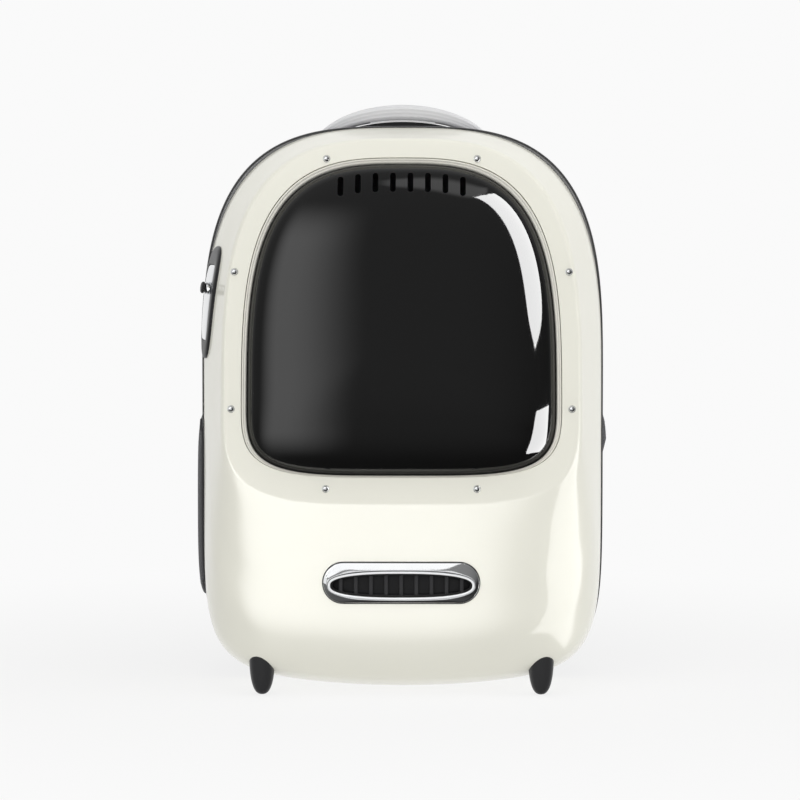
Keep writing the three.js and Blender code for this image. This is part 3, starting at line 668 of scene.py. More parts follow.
def stitch_item(tree, sizes):
    """One stitch: a slim bead along the path."""
    bead = node_at(tree, "GeometryNodeMeshUVSphere", Segments=8, Rings=5, Radius=0.5).outputs["Mesh"]
    return scaled(tree, bead, sizes["Length"], sizes["Thickness"], sizes["Thickness"])


def tooth_item(tree, sizes):
    """One zip tooth: a rounded block across the seam."""
    block = node_at(tree, "GeometryNodeMeshCube").outputs["Mesh"]
    rounded = node_at(tree, "GeometryNodeSubdivisionSurface", Mesh=block, Level=2, Edge_Crease=0.55)
    return scaled(tree, rounded.outputs["Mesh"], sizes["Width"], sizes["Length"], sizes["Height"])


def rivet_item(tree, sizes):
    """One rivet: a dome on a thin flange."""
    dome = node_at(tree, "GeometryNodeMeshUVSphere", Segments=32, Rings=20, Radius=1.0).outputs["Mesh"]
    head = scaled(tree, dome, sizes["Radius"], sizes["Radius"], sizes["Height"])
    ring = node_at(tree, "GeometryNodeMeshUVSphere", Segments=32, Rings=12, Radius=1.0).outputs["Mesh"]
    flange = scaled(tree, ring, sizes["Flange"], sizes["Flange"], sizes["Thickness"])
    join = tree.nodes.new("GeometryNodeJoinGeometry")
    tree.links.new(head, join.inputs[0])
    tree.links.new(flange, join.inputs[0])
    return join.outputs[0]


def scatter_tree(name, sizes, make_item):
    """A tree that sets one item on every place, turned along the path and out of the surface."""
    tree = bpy.data.node_groups.new(name, "GeometryNodeTree")
    sockets = {"Places": "Geometry", **{size: "Float" for size in sizes}, "Finish": "Material"}
    for label, kind in sockets.items():
        tree.interface.new_socket(label, in_out="INPUT", socket_type=f"NodeSocket{kind}")
    tree.interface.new_socket("Geometry", in_out="OUTPUT", socket_type="NodeSocketGeometry")
    entry = tree.nodes.new("NodeGroupInput")
    item = make_item(tree, {size: entry.outputs[size] for size in sizes})
    points = node_at(tree, "GeometryNodeMeshToPoints", Mesh=entry.outputs["Places"])
    directions = []
    for label in ("along", "out"):
        layer = tree.nodes.new("GeometryNodeInputNamedAttribute")
        layer.data_type = "FLOAT_VECTOR"
        layer.inputs["Name"].default_value = label
        directions.append(layer.outputs["Attribute"])
    turn = tree.nodes.new("FunctionNodeAxesToRotation")
    turn.primary_axis, turn.secondary_axis = "Z", "X"
    tree.links.new(directions[1], turn.inputs["Primary Axis"])
    tree.links.new(directions[0], turn.inputs["Secondary Axis"])
    copies = node_at(tree, "GeometryNodeInstanceOnPoints", Points=points.outputs["Points"], Instance=item,
                     Rotation=turn.outputs["Rotation"])
    solid = node_at(tree, "GeometryNodeRealizeInstances", Geometry=copies.outputs["Instances"])
    coat = node_at(tree, "GeometryNodeSetMaterial", Geometry=solid.outputs["Geometry"],
                   Material=entry.outputs["Finish"])
    leave = tree.nodes.new("NodeGroupOutput")
    tree.links.new(coat.outputs["Geometry"], leave.inputs["Geometry"])
    return tree


def scatter(name, places, along, out, sizes, make_item, material):
    """A plain mesh of like items on the given places; sizes are in millimetres."""
    piece = places_object(name, places, along, out)
    tree = scatter_tree(f"{name}_nodes", list(sizes), make_item)
    modifier = piece.modifiers.new("items", "NODES")
    modifier.node_group = tree
    values = {**{size: value / MM for size, value in sizes.items()}, "Finish": material}
    for socket in tree.interface.items_tree:
        if socket.in_out == "INPUT" and socket.name in values:
            modifier[socket.identifier] = values[socket.name]
    made_plain(piece)
    face_outwards(piece.data)
    piece.data.shade_smooth()
    return piece


STITCH = {"pitch": 3.4, "Length": 2.4, "Thickness": 0.55}


def stitch_rows(name, rows, material):
    """Stitches along several lines; a row is (points, outward directions, whether it closes)."""
    places, along, out = [], [], []
    for line, away, closed in rows:
        row_places, row_along = along_path(line, STITCH["pitch"], closed)
        places.append(row_places)
        along.append(row_along)
        nearest = np.argmin(np.linalg.norm(row_places[:, None] - np.asarray(line)[None], axis=-1), axis=1)
        out.append(np.asarray(away)[nearest])
    sizes = {size: STITCH[size] for size in ("Length", "Thickness")}
    return scatter(name, np.vstack(places), np.vstack(along), np.vstack(out), sizes, stitch_item, material)


# Shells and seam


def make_front_shell():
    """The glossy moulding, with an opening behind the vent."""
    stride = BODY_MESH["front_steps"] // BODY_MESH["inner_steps"]
    inner = FRONT_LOOPS - SHELL_WALL * loop_normals(FRONT_LOOPS)
    inner[-1, :, 1] = FRONT_LOOPS[-1, :, 1]
    loops = np.concatenate([FRONT_LOOPS, inner[::-stride]])
    shell = add_piece("front_shell_moulding", (skin(loops, ring=True), finish("shell_gloss")))
    carve(shell, [prism(grille_oval(-GAP), -FAR, VENT_CUT_END)])
    settle(shell, "gloss_white", "front_shell")


def tube(line, out, radius, sides):
    """A closed round tube along a closed line of points, seated on directions out of the surface."""
    line, out = np.asarray(line, float), np.asarray(out, float)
    along = unit(np.roll(line, -1, axis=0) - np.roll(line, 1, axis=0))
    beside = np.cross(along, out)
    turn = turns(sides)[:, None, None]
    loops = line[None] + radius * (np.cos(turn) * out[None] + np.sin(turn) * beside[None])
    return skin(np.swapaxes(loops, 0, 1), ring=True)


# The piped edge lies a few mesh rows before one of the back's sections, between two rows of stitches.
BACK_SEAM = {"section": 4, "rows_before": 3, "stitch_rows": 2}
BACK_PIPING = {"radius": 1.7, "sides": 10}


def make_back_shell():
    """The soft back with its piped panel edge and rows of stitches beside it."""
    stride = BODY_MESH["back_steps"] // BODY_MESH["inner_steps"]
    normals = loop_normals(BACK_LOOPS)
    inner = BACK_LOOPS - BACK_WALL * normals
    inner[0, :, 1] = BACK_LOOPS[0, :, 1]
    loops = np.concatenate([inner[::stride][::-1], BACK_LOOPS])
    edge = BACK_SEAM["section"] * BODY_MESH["back_steps"] - BACK_SEAM["rows_before"]
    piping = tube(BACK_LOOPS[edge], normals[edge], BACK_PIPING["radius"], BACK_PIPING["sides"])
    shell = add_piece("soft_back", (skin(loops), finish("back_cloth")), (piping, finish("binding")))
    settle(shell, "grey_fabric", "back_shell")
    beside = (edge - BACK_SEAM["stitch_rows"], edge + BACK_SEAM["stitch_rows"])
    rows = [(BACK_LOOPS[row], normals[row], True) for row in beside]
    settle(stitch_rows("soft_back_stitches", rows, finish("pale_thread")), "grey_fabric")


def zip_loop(grow, depth):
    """The seam's outline, grown outwards and set behind the seam plane."""
    half_width, top, bottom, corner, sag, _, chin = FRONT_SECTIONS[-1]
    row = (half_width + grow, top + grow, bottom - grow, corner, sag, depth, chin)
    return section_loops([row], BODY_MESH["columns"], BACK)[0]


# Share of the zip's height and of its depth: two raised edges with a groove for the teeth.
TAPE_PROFILE = ((0.3, 0.0), (0.9, 0.05), (1.0, 0.12), (0.9, 0.22), (0.25, 0.27), (0.25, 0.73), (0.9, 0.78),
                (1.0, 0.88), (0.9, 0.95), (0.3, 1.0))
TOOTH = {"Width": 1.4, "Length": 2.3, "Height": 0.9}
TOOTH_LIFT = 0.55
PIPING = {"grow": 0.4, "radius": 0.75, "sides": 8}


def make_seam_zip():
    """A grey woven tape along the seam with dark teeth across it and a dark piping at the shell's edge."""
    front, back, proud, sunk = ZIP["front"], ZIP["back"], ZIP["proud"], ZIP["sunk"]
    outer = [zip_loop(proud * lift, front + share * (back - front)) for lift, share in TAPE_PROFILE]
    loops = [*outer, zip_loop(-sunk, back), zip_loop(-sunk, front)]
    tape = add_piece("zip_tape", (skin(loops, ring=True), finish("zip_tape")))
    settle(tape, "grey_fabric", "seam_zip")
    edge = zip_loop(PIPING["grow"], front)
    cord = tube(edge, all_towards(FORWARDS, len(edge)), PIPING["radius"], PIPING["sides"])
    settle(add_piece("zip_piping", (cord, finish("zip_teeth"))), "zip_black")
    sizes = bpy.context.scene.carrier_sizes
    middle = zip_loop(TOOTH_LIFT, (front + back) / 2)
    places, along = along_path(middle, sizes.tooth_pitch * MM, closed=True)
    out = np.cross(along, BACKWARDS)
    out *= np.sign((out * (places - middle.mean(axis=0))).sum(axis=1, keepdims=True))
    teeth = scatter("zip_teeth", places, along, out, TOOTH, tooth_item, finish("zip_teeth"))
    settle(teeth, "zip_black")


# Window

VISOR = {"inset": 4.2, "recess": 8.0, "power": 2.5, "wall": 2.5, "rings": 56, "hub": 0.012}
VISOR_SLOT = {"width": 4.4, "height": 14.5, "drop": 19.0, "columns": 24}
RING_NORMAL = np.array([0.0, -1.0, LEAN]) / math.hypot(1.0, LEAN)
# The lip between the shell and the window: two beads with a groove, from the shell inwards.
# A row gives the inset from the opening and the recess behind the ring; below, the lip is narrower.
LOWER_LIP = 0.5
LIP_PROFILE = (
    (0.4, 10.5), (0.4, 1.4), (0.7, 0.6), (1.2, 0.4), (1.7, 0.7), (2.0, 1.5), (2.2, 2.2),
    (2.5, 1.9), (3.0, 1.9), (3.5, 2.5), (3.9, 3.6), (4.2, 5.2), (4.2, 10.5),
)


def window_loop(inset, recess):
    """The window opening's outline, drawn in by an inset and set back behind the ring's face."""
    half_width, top, bottom, corner, sag, depth, chin = FRONT_SECTIONS[0]
    row = (half_width - inset, top - inset, bottom + LOWER_LIP * inset, corner, sag, depth, chin)
    return section_loops([row], BODY_MESH["columns"], FRONT)[0] - recess * RING_NORMAL


def window_top_at(x):
    """Height of the window opening's top edge."""
    half_width, top = FRONT_SECTIONS[0][:2]
    power = CROWN_POWER[FRONT]
    return WIDE_Z + (top - WIDE_Z) * (1 - abs(x / half_width) ** power) ** (1 / power)


def dome_loops():
    """The window's outer face, from its rim to its middle."""
    rim = window_loop(VISOR["inset"] + GAP, VISOR["recess"])
    middle = rim.mean(axis=0)
    turn = np.linspace(0, math.pi / 2, VISOR["rings"] + 1)[:-1]
    share = np.maximum(np.cos(turn) ** (2 / VISOR["power"]), VISOR["hub"])[:, None, None]
    bulge = bpy.context.scene.carrier_sizes.window_bulge * MM
    lift = (np.sin(turn) ** (2 / VISOR["power"]) * bulge)[:, None, None]
    return middle + share * (rim - middle)[None] + lift * RING_NORMAL


def make_window():
    """The domed smoked window with its slots, and the lip round it."""
    sizes = bpy.context.scene.carrier_sizes
    outer = dome_loops()
    inner = outer - VISOR["wall"] * loop_normals(outer)
    loops = np.concatenate([outer[::-1], inner])
    visor = add_piece("visor_dome", (skin(loops), finish("window_smoked")))
    width, height, columns = VISOR_SLOT["width"], VISOR_SLOT["height"], VISOR_SLOT["columns"]
    slots = []
    for i in range(sizes.slot_count):
        x = (i - (sizes.slot_count - 1) / 2) * sizes.slot_pitch * MM
        outline = stadium(width / 2, height / 2, columns) + (x, window_top_at(x) - VISOR_SLOT["drop"])
        slots.append(prism(outline, -FAR, 0))
    carve(visor, slots)
    settle(visor, "smoked_window", "visor")
    lip = skin([window_loop(inset, recess) for inset, recess in LIP_PROFILE], ring=True)
    settle(add_piece("visor_lip", (lip, finish("lip_trim"))), "clear_trim", "visor_gasket")


# Rivets

RIVET = {"Radius": 2.6, "Height": 2.1, "Flange": 2.9, "Thickness": 0.5}
RIVET_SPOTS = ((58.0, 414.5), (128.2, 328.0), (130.0, 224.0), (57.5, 164.0))


def make_rivets():
    """Eight rivets on the ring, square to it."""
    spots = [(side * x, z) for side in SIDES.values() for x, z in RIVET_SPOTS]
    places, out = zip(*[front_at(x, z) for x, z in spots])
    along = all_towards((1.0, 0.0, 0.0), len(spots))
    rivets = scatter("rivets", places, along, out, RIVET, rivet_item, finish("chrome_polish"))
    nodes = [f"rivet_{side}_{row}" for side in SIDES for row in range(1, len(RIVET_SPOTS) + 1)]
    settle(rivets, "chrome", *nodes)


# Vent on the chin

VENT_CUT_END = -84.0
VENT_COLUMNS = 192
BEZEL = {"z": 93.1, "half_length": 59.4, "half_height": 15.4}
GRILLE = {"z": 91.1, "half_length": 54.0, "half_height": 9.1, "power": 2.6}
# Share of the way from the bezel's outer edge to its bead, and lift off the chin.
BEZEL_PROFILE = (
    (0.0, -1.5), (0.0, 0.5), (0.02, 0.9), (0.08, 1.3), (0.2, 1.6), (0.4, 2.1),
    (0.6, 2.5), (0.8, 2.8), (0.92, 2.9), (0.98, 2.7), (1.0, 2.3), (1.0, -1.5),
)
BEAD = {"inset": -0.9, "lift": 1.7, "radius": 0.95, "sides": 16}
# A thin dark ring round the bezel's foot: a seat, and also the painted shadow line where the bezel meets the
# chin.
BEZEL_SEAT_SHADOW = {"lift": 0.15, "radius": 0.7, "sides": 10}
# The grille's rim: inset from its edge, and lift off the chin.
RIM_PROFILE = ((0.0, -1.6), (0.0, -4.6), (1.8, -4.6), (1.8, -2.2), (1.2, -1.6))
SCREEN = {"inset": 0.9, "front": -3.6, "back": -4.5, "rings": 5, "hub": 0.1}
BAR = {"count": 9, "pitch": 11.5, "half_width": 1.5, "half_depth": 1.1, "power": 3.0, "lift": -2.7}
BAR_MESH = {"rows": 9, "sides": 20}


def vent_outline(z, radius_at):
    """An outline of the vent about a height, with points spread evenly along its long sides."""
    turn = turns(VENT_COLUMNS)
    angle = np.arctan2(BEZEL["half_height"] * np.sin(turn), BEZEL["half_length"] * np.cos(turn))
    radius = radius_at(angle)
    return np.column_stack([radius * np.cos(angle), z + radius * np.sin(angle)])


def bezel_oval():
    """The bezel's outer edge, a lying stadium."""
    half_length, half_height = BEZEL["half_length"], BEZEL["half_height"]
    return vent_outline(BEZEL["z"], lambda angle: stadium_radius(angle, half_length, half_height))


def grille_oval(inset):
    """The grille's edge, a squared oval, drawn in by an inset."""
    half_length, half_height = GRILLE["half_length"] - inset, GRILLE["half_height"] - inset
    power = GRILLE["power"]
    return vent_outline(GRILLE["z"], lambda angle: oval_radius(angle, half_length, half_height, power))


def grille_bar(x):
    """One upright rounded bar that follows the chin from rim to rim."""
    power = GRILLE["power"]
    full = GRILLE["half_height"] - SCREEN["inset"]
    half = full * (1 - (abs(x) / GRILLE["half_length"]) ** power) ** (1 / power)
    section = squared_oval(BAR["half_width"], BAR["half_depth"], BAR["power"], BAR_MESH["sides"])
    loops = []
    for z in GRILLE["z"] + np.linspace(-half, half, BAR_MESH["rows"]):
        y = front_at(x, z)[0].y - BAR["lift"]
        loops.append(np.column_stack([x + section[:, 0], y + section[:, 1], np.full(len(section), z)]))
    return skin(loops)


def chin_tube(outline, sizes):
    """A round tube on the chin along an outline."""
    line = on_front(outline, sizes["lift"])
    return tube(line, all_towards(FORWARDS, len(line)), sizes["radius"], sizes["sides"])


def make_bezel():
    """The chrome bezel in its dark seat, with a bright bead inside it."""
    outer, inner = bezel_oval(), grille_oval(2 * BEAD["inset"])
    loops = [on_front(outer + share * (inner - outer), lift) for share, lift in BEZEL_PROFILE]
    bead, seat_shadow = chin_tube(grille_oval(BEAD["inset"]), BEAD), chin_tube(outer, BEZEL_SEAT_SHADOW)
    bezel = add_piece("vent_bezel_ring", (skin(loops, ring=True), finish("chrome_polish")),
                      (bead, finish("bright_bead")), (seat_shadow, finish("satin_black")))
    settle(bezel, "chrome", "vent_bezel")


def make_grille():
    """The grille behind the bezel: a rim, a screen and upright bars."""
    rim = skin([on_front(grille_oval(inset), lift) for inset, lift in RIM_PROFILE], ring=True)
    centre, edge = np.array([0, GRILLE["z"]]), grille_oval(SCREEN["inset"])
    shares = np.linspace(1, SCREEN["hub"], SCREEN["rings"])
    front, back = [[on_front(centre + share * (edge - centre), SCREEN[face]) for share in shares]
                   for face in ("front", "back")]
    screen = skin([*front[::-1], *back])
    bars = [grille_bar((i - (BAR["count"] - 1) / 2) * BAR["pitch"]) for i in range(BAR["count"])]
    grille = add_piece("vent_grille_bars", (rim, finish("satin_black")), (screen, finish("grille_screen")),
                       *[(bar, finish("grille_bars")) for bar in bars])
    settle(grille, "black_plastic", "vent_grille")


def make_vent():
    """The vent on the chin."""
    make_bezel()
    make_grille()


# Feet

FOOT = {"x": 107.0, "radius": 10.0, "taper": 34.0, "power": 2.6, "flat": 1.4, "sunk": 1.0}
FOOT_MESH = {"sides": 48, "rows": 28, "crowding": 1.6}
FOOT_Y = {"front": -98.0, "back": 66.0}


def foot_skin(x, y):
    """A tapered peg whose top follows the underside of the body."""
    radius, taper, power = FOOT["radius"], FOOT["taper"], FOOT["power"]
    start = taper * (1 - (1 - (FOOT["flat"] / radius) ** power) ** (1 / power))
    face = FRONT_FACE if y < 0 else BACK_FACE
    turn = turns(FOOT_MESH["sides"])
    edge = np.column_stack([x + radius * np.cos(turn), y + radius * np.sin(turn), np.full(len(turn), -FAR)])
    tops = np.array([meet(face, point, (0, 0, 1))[0].z for point in edge])
    share = np.linspace(0, 1, FOOT_MESH["rows"])[:, None] ** FOOT_MESH["crowding"]
    height = share * (tops + FOOT["sunk"] - FLOOR_Z)
    level = np.minimum((height + start) / taper, 1.0)
    reach = radius * (1 - (1 - level) ** power) ** (1 / power)
    return skin(np.stack([x + reach * np.cos(turn), y + reach * np.sin(turn), FLOOR_Z + height], axis=-1))


def make_feet():
    """Four like feet, in front and behind."""
    for end, y in FOOT_Y.items():
        for side, sign in SIDES.items():
            peg = foot_skin(sign * FOOT["x"], y)
            foot = add_piece(f"foot_{end}_{side}_peg", (peg, finish("peg_rubber")))
            settle(foot, "foot_rubber", f"foot_{end}_{side}")


# Carry handle

HANDLE = {"half_span": 73.0, "rise": 39.4, "peak": 457.2, "grip": 12.6, "leg": 4.6, "width": 30.0,
          "y": 27.0}
HANDLE_MESH = {"steps": 96, "sides": 112, "power": 5.0, "fineness": 720}
HANDLE_REACH = math.radians(70)
HANDLE_BASE = {"front": 15.0, "back": 21.0, "leg": 6.1, "clearance": 0.8}
WELT = {"reach": math.radians(22), "radius": 0.55, "set_back": 2.0, "sides": 10}


def handle_lines(angle, leg, clearance=0.0):
    """Points (x, z) of the handle's upper and lower lines, at an angle from the top of the arch."""
    span, rise, grip = HANDLE["half_span"], HANDLE["rise"], HANDLE["grip"]
    base = HANDLE["peak"] - rise
    across, up = math.sin(angle), math.cos(angle)
    return (np.array([span * across, base + rise * up]),
            np.array([(span - leg) * across, base + (rise - grip - clearance) * up]))


def handle_angles(reach):
    """Even angles along the arch, to both sides of its top."""
    return np.linspace(-reach, reach, HANDLE_MESH["steps"] + 1)


def handle_skin():
    """The grip: a flat-faced band bent along the arch."""
    half_grip = HANDLE["grip"] / 2
    outline = squared_oval(HANDLE["width"] / 2, half_grip, HANDLE_MESH["power"], HANDLE_MESH["fineness"])
    aside, up = evenly(outline, HANDLE_MESH["sides"]).T
    loops = []
    for angle in handle_angles(HANDLE_REACH):
        upper, lower = handle_lines(angle, HANDLE["leg"])
        middle, out = (upper + lower) / 2, (upper - lower) / (2 * half_grip)
        x, z = middle[:, None] + out[:, None] * up
        loops.append(np.column_stack([x, HANDLE["y"] + aside, z]))
    return skin(loops)


def make_handle():
    """The grip with a pale welt along its lower edge, and the dark plate that closes the arch's front."""
    # The welt is painted paler than the grip: a painted highlight along the grip's lower edge.
    front = HANDLE["y"] - HANDLE["width"] / 2 + WELT["set_back"]
    lower = [handle_lines(angle, HANDLE["leg"])[1] for angle in handle_angles(WELT["reach"])]
    welt = open_tube(np.array([(x, front, z) for x, z in lower]), WELT["radius"], WELT["sides"])
    grip = add_piece("carry_handle_grip", (handle_skin(), finish("handle_rubber")),
                     (welt, finish("handle_welt")))
    settle(grip, "handle_grey", "carry_handle")
    # The plate under the arch is dark plastic that also stands for the shade beneath the handle.
    arch = [handle_lines(angle, HANDLE_BASE["leg"], HANDLE_BASE["clearance"])[1]
            for angle in handle_angles(HANDLE_REACH)]
    solid = prism(arch, HANDLE_BASE["front"], HANDLE_BASE["back"])
    plate = add_piece("handle_plate", (solid, finish("satin_black")))
    plate.data.set_sharp_from_angle(angle=CUT_SHARP)
    settle(plate, "black_plastic", "handle_base")


# Side pockets

POCKET = {"bottom": 68.0, "top": 214.0, "bulge": 7.5, "wall": 1.5, "reach": 163.0, "corner": 3.4,
          "power": 3.2, "edge": 0.7}
POCKET_MESH = {"columns": 168, "rings": 22, "hub_shares": (0.12, 0.06, 0.015)}
# Where each pocket starts and ends along the flank.
POCKET_SPANS = {"left": (-10.0, 74.0), "right": (10.0, 74.0)}
# The right pocket lies flatter below its gathered top.
POCKET_FLAT = {"left": 0.0, "right": 3.4}
POCKET_TOP_BAND = (180.0, 192.0)
GATHER = {"pitch": 7.0, "depth": 0.5, "from": 0.45}
HEM = {"share": 0.985, "lift": 0.4, "radius": 1.1, "sides": 8}
POCKET_STITCH_SHARE = 0.9


def pocket_point(side, centre, half, direction, share, lift):
    """A point of the pocket's cloth: close to the flank at its edge, and full in its middle."""
    y, z = centre + share * half * direction
    full = POCKET["reach"] - POCKET["bulge"] + lift
    top = max(0.0, direction[1] * share - GATHER["from"]) / (1 - GATHER["from"])
    full += GATHER["depth"] * top * math.sin(2 * math.pi * y / GATHER["pitch"])
    full -= POCKET_FLAT["left" if side < 0 else "right"] * np.interp(z, POCKET_TOP_BAND, (1.0, 0.0))
    return np.array([side * max(flank_x(side, y, z) + POCKET["edge"], full), y, z])


def pocket_cut(name):
    """The middle of a pocket on its flank and half of its size, both along and up."""
    front, back = POCKET_SPANS[name]
    low, high = np.array([front, POCKET["bottom"]]), np.array([back, POCKET["top"]])
    return (low + high) / 2, (high - low) / 2


def pocket_rings():
    """Shares of the way out from a pocket's middle with the cloth's lift there, from its edge inwards."""
    turn = np.linspace(0, math.pi / 2, POCKET_MESH["rings"] + 1)[:-1]
    hubs = POCKET_MESH["hub_shares"]
    power = 2 / POCKET["power"]
    shares = np.append(np.cos(turn) ** power, hubs)
    return shares, POCKET["bulge"] * np.append(np.sin(turn) ** power, np.ones(len(hubs)))


def make_pocket(name, side):
    """A shallow cloth pocket with a bound edge, gathers at the top and a row of stitches."""
    centre, half = pocket_cut(name)
    outline = squared_oval(1.0, 1.0, POCKET["corner"], POCKET_MESH["columns"])

    def cloth_loop(share, lift):
        return np.array([pocket_point(side, centre, half, way, share, lift) for way in outline])

    shares, lifts = pocket_rings()
    outer = np.array([cloth_loop(share, lift) for share, lift in zip(shares, lifts)])
    inner = outer - (side * POCKET["wall"], 0, 0)
    cloth = add_piece(f"pocket_{name}_cloth", (skin([*outer[::-1], *inner]), finish("pocket_cloth")))
    settle(cloth, "charcoal_fabric", f"pocket_{name}")
    out = all_towards((side, 0, 0), len(outline))
    hem_line = cloth_loop(HEM["share"], 0.0) + (side * HEM["lift"], 0, 0)
    hem_tube = tube(hem_line, out, HEM["radius"], HEM["sides"])
    hem = add_piece(f"pocket_{name}_hem", (hem_tube, finish("binding")))
    settle(hem, "charcoal_fabric")
    row = int(np.argmin(np.abs(shares - POCKET_STITCH_SHARE)))
    stitches = stitch_rows(f"pocket_{name}_stitches", [(outer[row], out, True)], finish("thread"))
    settle(stitches, "charcoal_fabric")


def make_pockets():
    """The pockets on both flanks."""
    for name, side in SIDES.items():
        make_pocket(name, side)


# Latch on the left flank

LATCH = {"y": -26.0, "z": 302.5, "half_width": 23.0, "half_height": 44.0, "power": 2.6, "lean": 0.1}
LATCH_COLUMNS = 120
LATCH_BAR = {"half_width": 15.0, "half_height": 30.0, "power": 5.0}
LATCH_BAR_FIT = 0.985
# Loops of the plate and of the bar: share of the oval's size, and lift off the shell.
LATCH_PLATE_LOOPS = ((1.0, -1.5), (1.0, 1.0), (0.985, 1.6), (0.95, 2.1), (0.9, 2.4))
LATCH_FLOOR_LOOPS = ((1.04, 2.4), (1.0, 2.1), (1.0, 1.1), (0.6, 1.1), (0.1, 1.1))
LATCH_BAR_LOOPS = (
    (0.1, 1.5), (0.6, 1.5), (1.0, 1.5), (1.0, 1.9), (0.96, 2.3),
    (0.86, 2.55), (0.7, 2.6), (0.4, 2.6), (0.1, 2.6),
)
LATCH_KNOB = {"y": -36.0, "z": 313.5, "sides": 40}
# Radius and height off the shell; an end on the axis keeps a very small hole, which the skin's fan closes.
COLLAR_PROFILE = (
    (0.0, 3.0), (5.0, 3.0), (5.0, 4.0), (4.5, 4.4), (4.5, 4.9),
    (5.0, 5.3), (4.9, 6.0), (4.4, 6.3), (0.0, 6.3),
)
KNOB_PROFILE = (
    (0.0, 6.7), (3.8, 6.7), (4.4, 7.1), (4.6, 7.9), (4.4, 8.6), (3.6, 9.2), (2.1, 9.45), (0.0, 9.5),
)
AXIS_RADIUS = 0.05


def flank_loop(oval, share, lift):
    """A leaning oval on the left flank, drawn in by a share and lifted off the shell."""
    half_width, half_height = share * oval["half_width"], share * oval["half_height"]
    outline = squared_oval(half_width, half_height, oval["power"], LATCH_COLUMNS)
    loop = []
    for along, up in outline:
        y, z = LATCH["y"] + along - LATCH["lean"] * up, LATCH["z"] + up
        loop.append((meet(FRONT_FACE, (-FAR, y, z), (1, 0, 0))[0].x - lift, y, z))
    return np.array(loop)


def turned(profile, point, axis, sides):
    """A round piece about an axis through a point; the profile's ends lie on the axis."""
    axis = np.array(axis, float)
    beside = unit(np.cross(axis, (0.0, 0.0, 1.0)))
    above = np.cross(beside, axis)
    turn = turns(sides)[:, None]
    ring = np.cos(turn) * beside + np.sin(turn) * above
    return skin([np.array(point) + max(radius, AXIS_RADIUS) * ring + height * axis
                 for radius, height in profile])


def make_latch():
    """A long rounded plate with a bright bar let into it, and a knob on a collar."""
    plate = skin([*[flank_loop(LATCH, share, lift) for share, lift in LATCH_PLATE_LOOPS],
                  *[flank_loop(LATCH_BAR, share, lift) for share, lift in LATCH_FLOOR_LOOPS]])
    settle(add_piece("latch_plate", (plate, finish("satin_black"))), "black_plastic", "latch_base")
    bar = skin([flank_loop(LATCH_BAR, share * LATCH_BAR_FIT, lift) for share, lift in LATCH_BAR_LOOPS])
    settle(add_piece("latch_bright_bar", (bar, finish("chrome_polish"))), "chrome", "latch_bar")
    point, normal = meet(FRONT_FACE, (-FAR, LATCH_KNOB["y"], LATCH_KNOB["z"]), (1, 0, 0))
    rounds = (("latch_ring", COLLAR_PROFILE, "chrome_polish", "chrome", "latch_collar"),
              ("latch_button", KNOB_PROFILE, "satin_black", "black_plastic", "latch_knob"))
    for name, profile, material, slot, node in rounds:
        piece = add_piece(name, (turned(profile, point, normal, LATCH_KNOB["sides"]), finish(material)))
        piece.data.set_sharp_from_angle(angle=CUT_SHARP)
        settle(piece, slot, node)


# Back pad

PAD = {"half_width": 96.0, "bottom": 92.0, "top": 362.0, "thickness": 11.0, "corner": 5.0, "columns": 144}
# From the panel outwards and over the pad's face: inset from its outline, and share of its thickness.
PAD_EDGE = (
    (3.0, 0.0), (1.2, 0.08), (0.6, 0.25), (0.6, 0.55), (2.2, 0.76),
    (6.0, 0.86), (14.0, 0.9), (30.0, 0.9), (60.0, 0.9), (88.0, 0.9),
)
PAD_CLOTH = {"voxel": 0.005, "pressure": 4.0, "frames": 20, "cap": 0.004}
PAD_CHANNELS = {"upright": (-32.0, 32.0), "across": (160.0, 227.0, 294.0), "depth": 4.2, "width": 3.2}
PAD_BINDING = {"lift": 1.9, "radius": 1.6, "sides": 10}


def pad_loop(inset, lift):
    """The pad's outline, drawn in by an inset and lifted off the back panel."""
    half_z, middle = (PAD["top"] - PAD["bottom"]) / 2, (PAD["top"] + PAD["bottom"]) / 2
    oval = squared_oval(PAD["half_width"] - inset, half_z - inset, PAD["corner"], PAD["columns"])
    return np.column_stack([oval[:, 0], np.full(len(oval), BACK_DEPTH + lift), middle + oval[:, 1]])


def pad_skin():
    """The pad before it is filled."""
    return skin([pad_loop(inset, GAP + share * PAD["thickness"]) for inset, share in PAD_EDGE])


def mesh_points(piece):
    """The vertices of a piece, in metres."""
    return np.array([vertex.co for vertex in piece.data.vertices])


def inflate(piece, voxel, pressure, frames, cap):
    """Swells a closed piece as cloth round its filling, with no point moving further than the cap."""
    remesh = piece.modifiers.new("remesh", "REMESH")
    remesh.mode, remesh.voxel_size = "VOXEL", voxel
    made_plain(piece)
    start = mesh_points(piece)
    cloth = piece.modifiers.new("cloth", "CLOTH")
    cloth.settings.use_pressure = True
    cloth.settings.uniform_pressure_force = pressure
    cloth.settings.effector_weights.gravity = 0.0
    cloth.point_cache.frame_start, cloth.point_cache.frame_end = 1, frames
    scene = bpy.context.scene
    for step in range(1, frames + 1):
        scene.frame_set(step)
    made_plain(piece)
    scene.frame_set(1)
    moved = mesh_points(piece) - start
    length = np.linalg.norm(moved, axis=1, keepdims=True)
    capped = start + moved * np.minimum(1.0, cap / np.maximum(length, TINY))
    piece.data.vertices.foreach_set("co", capped.ravel())
    return piece


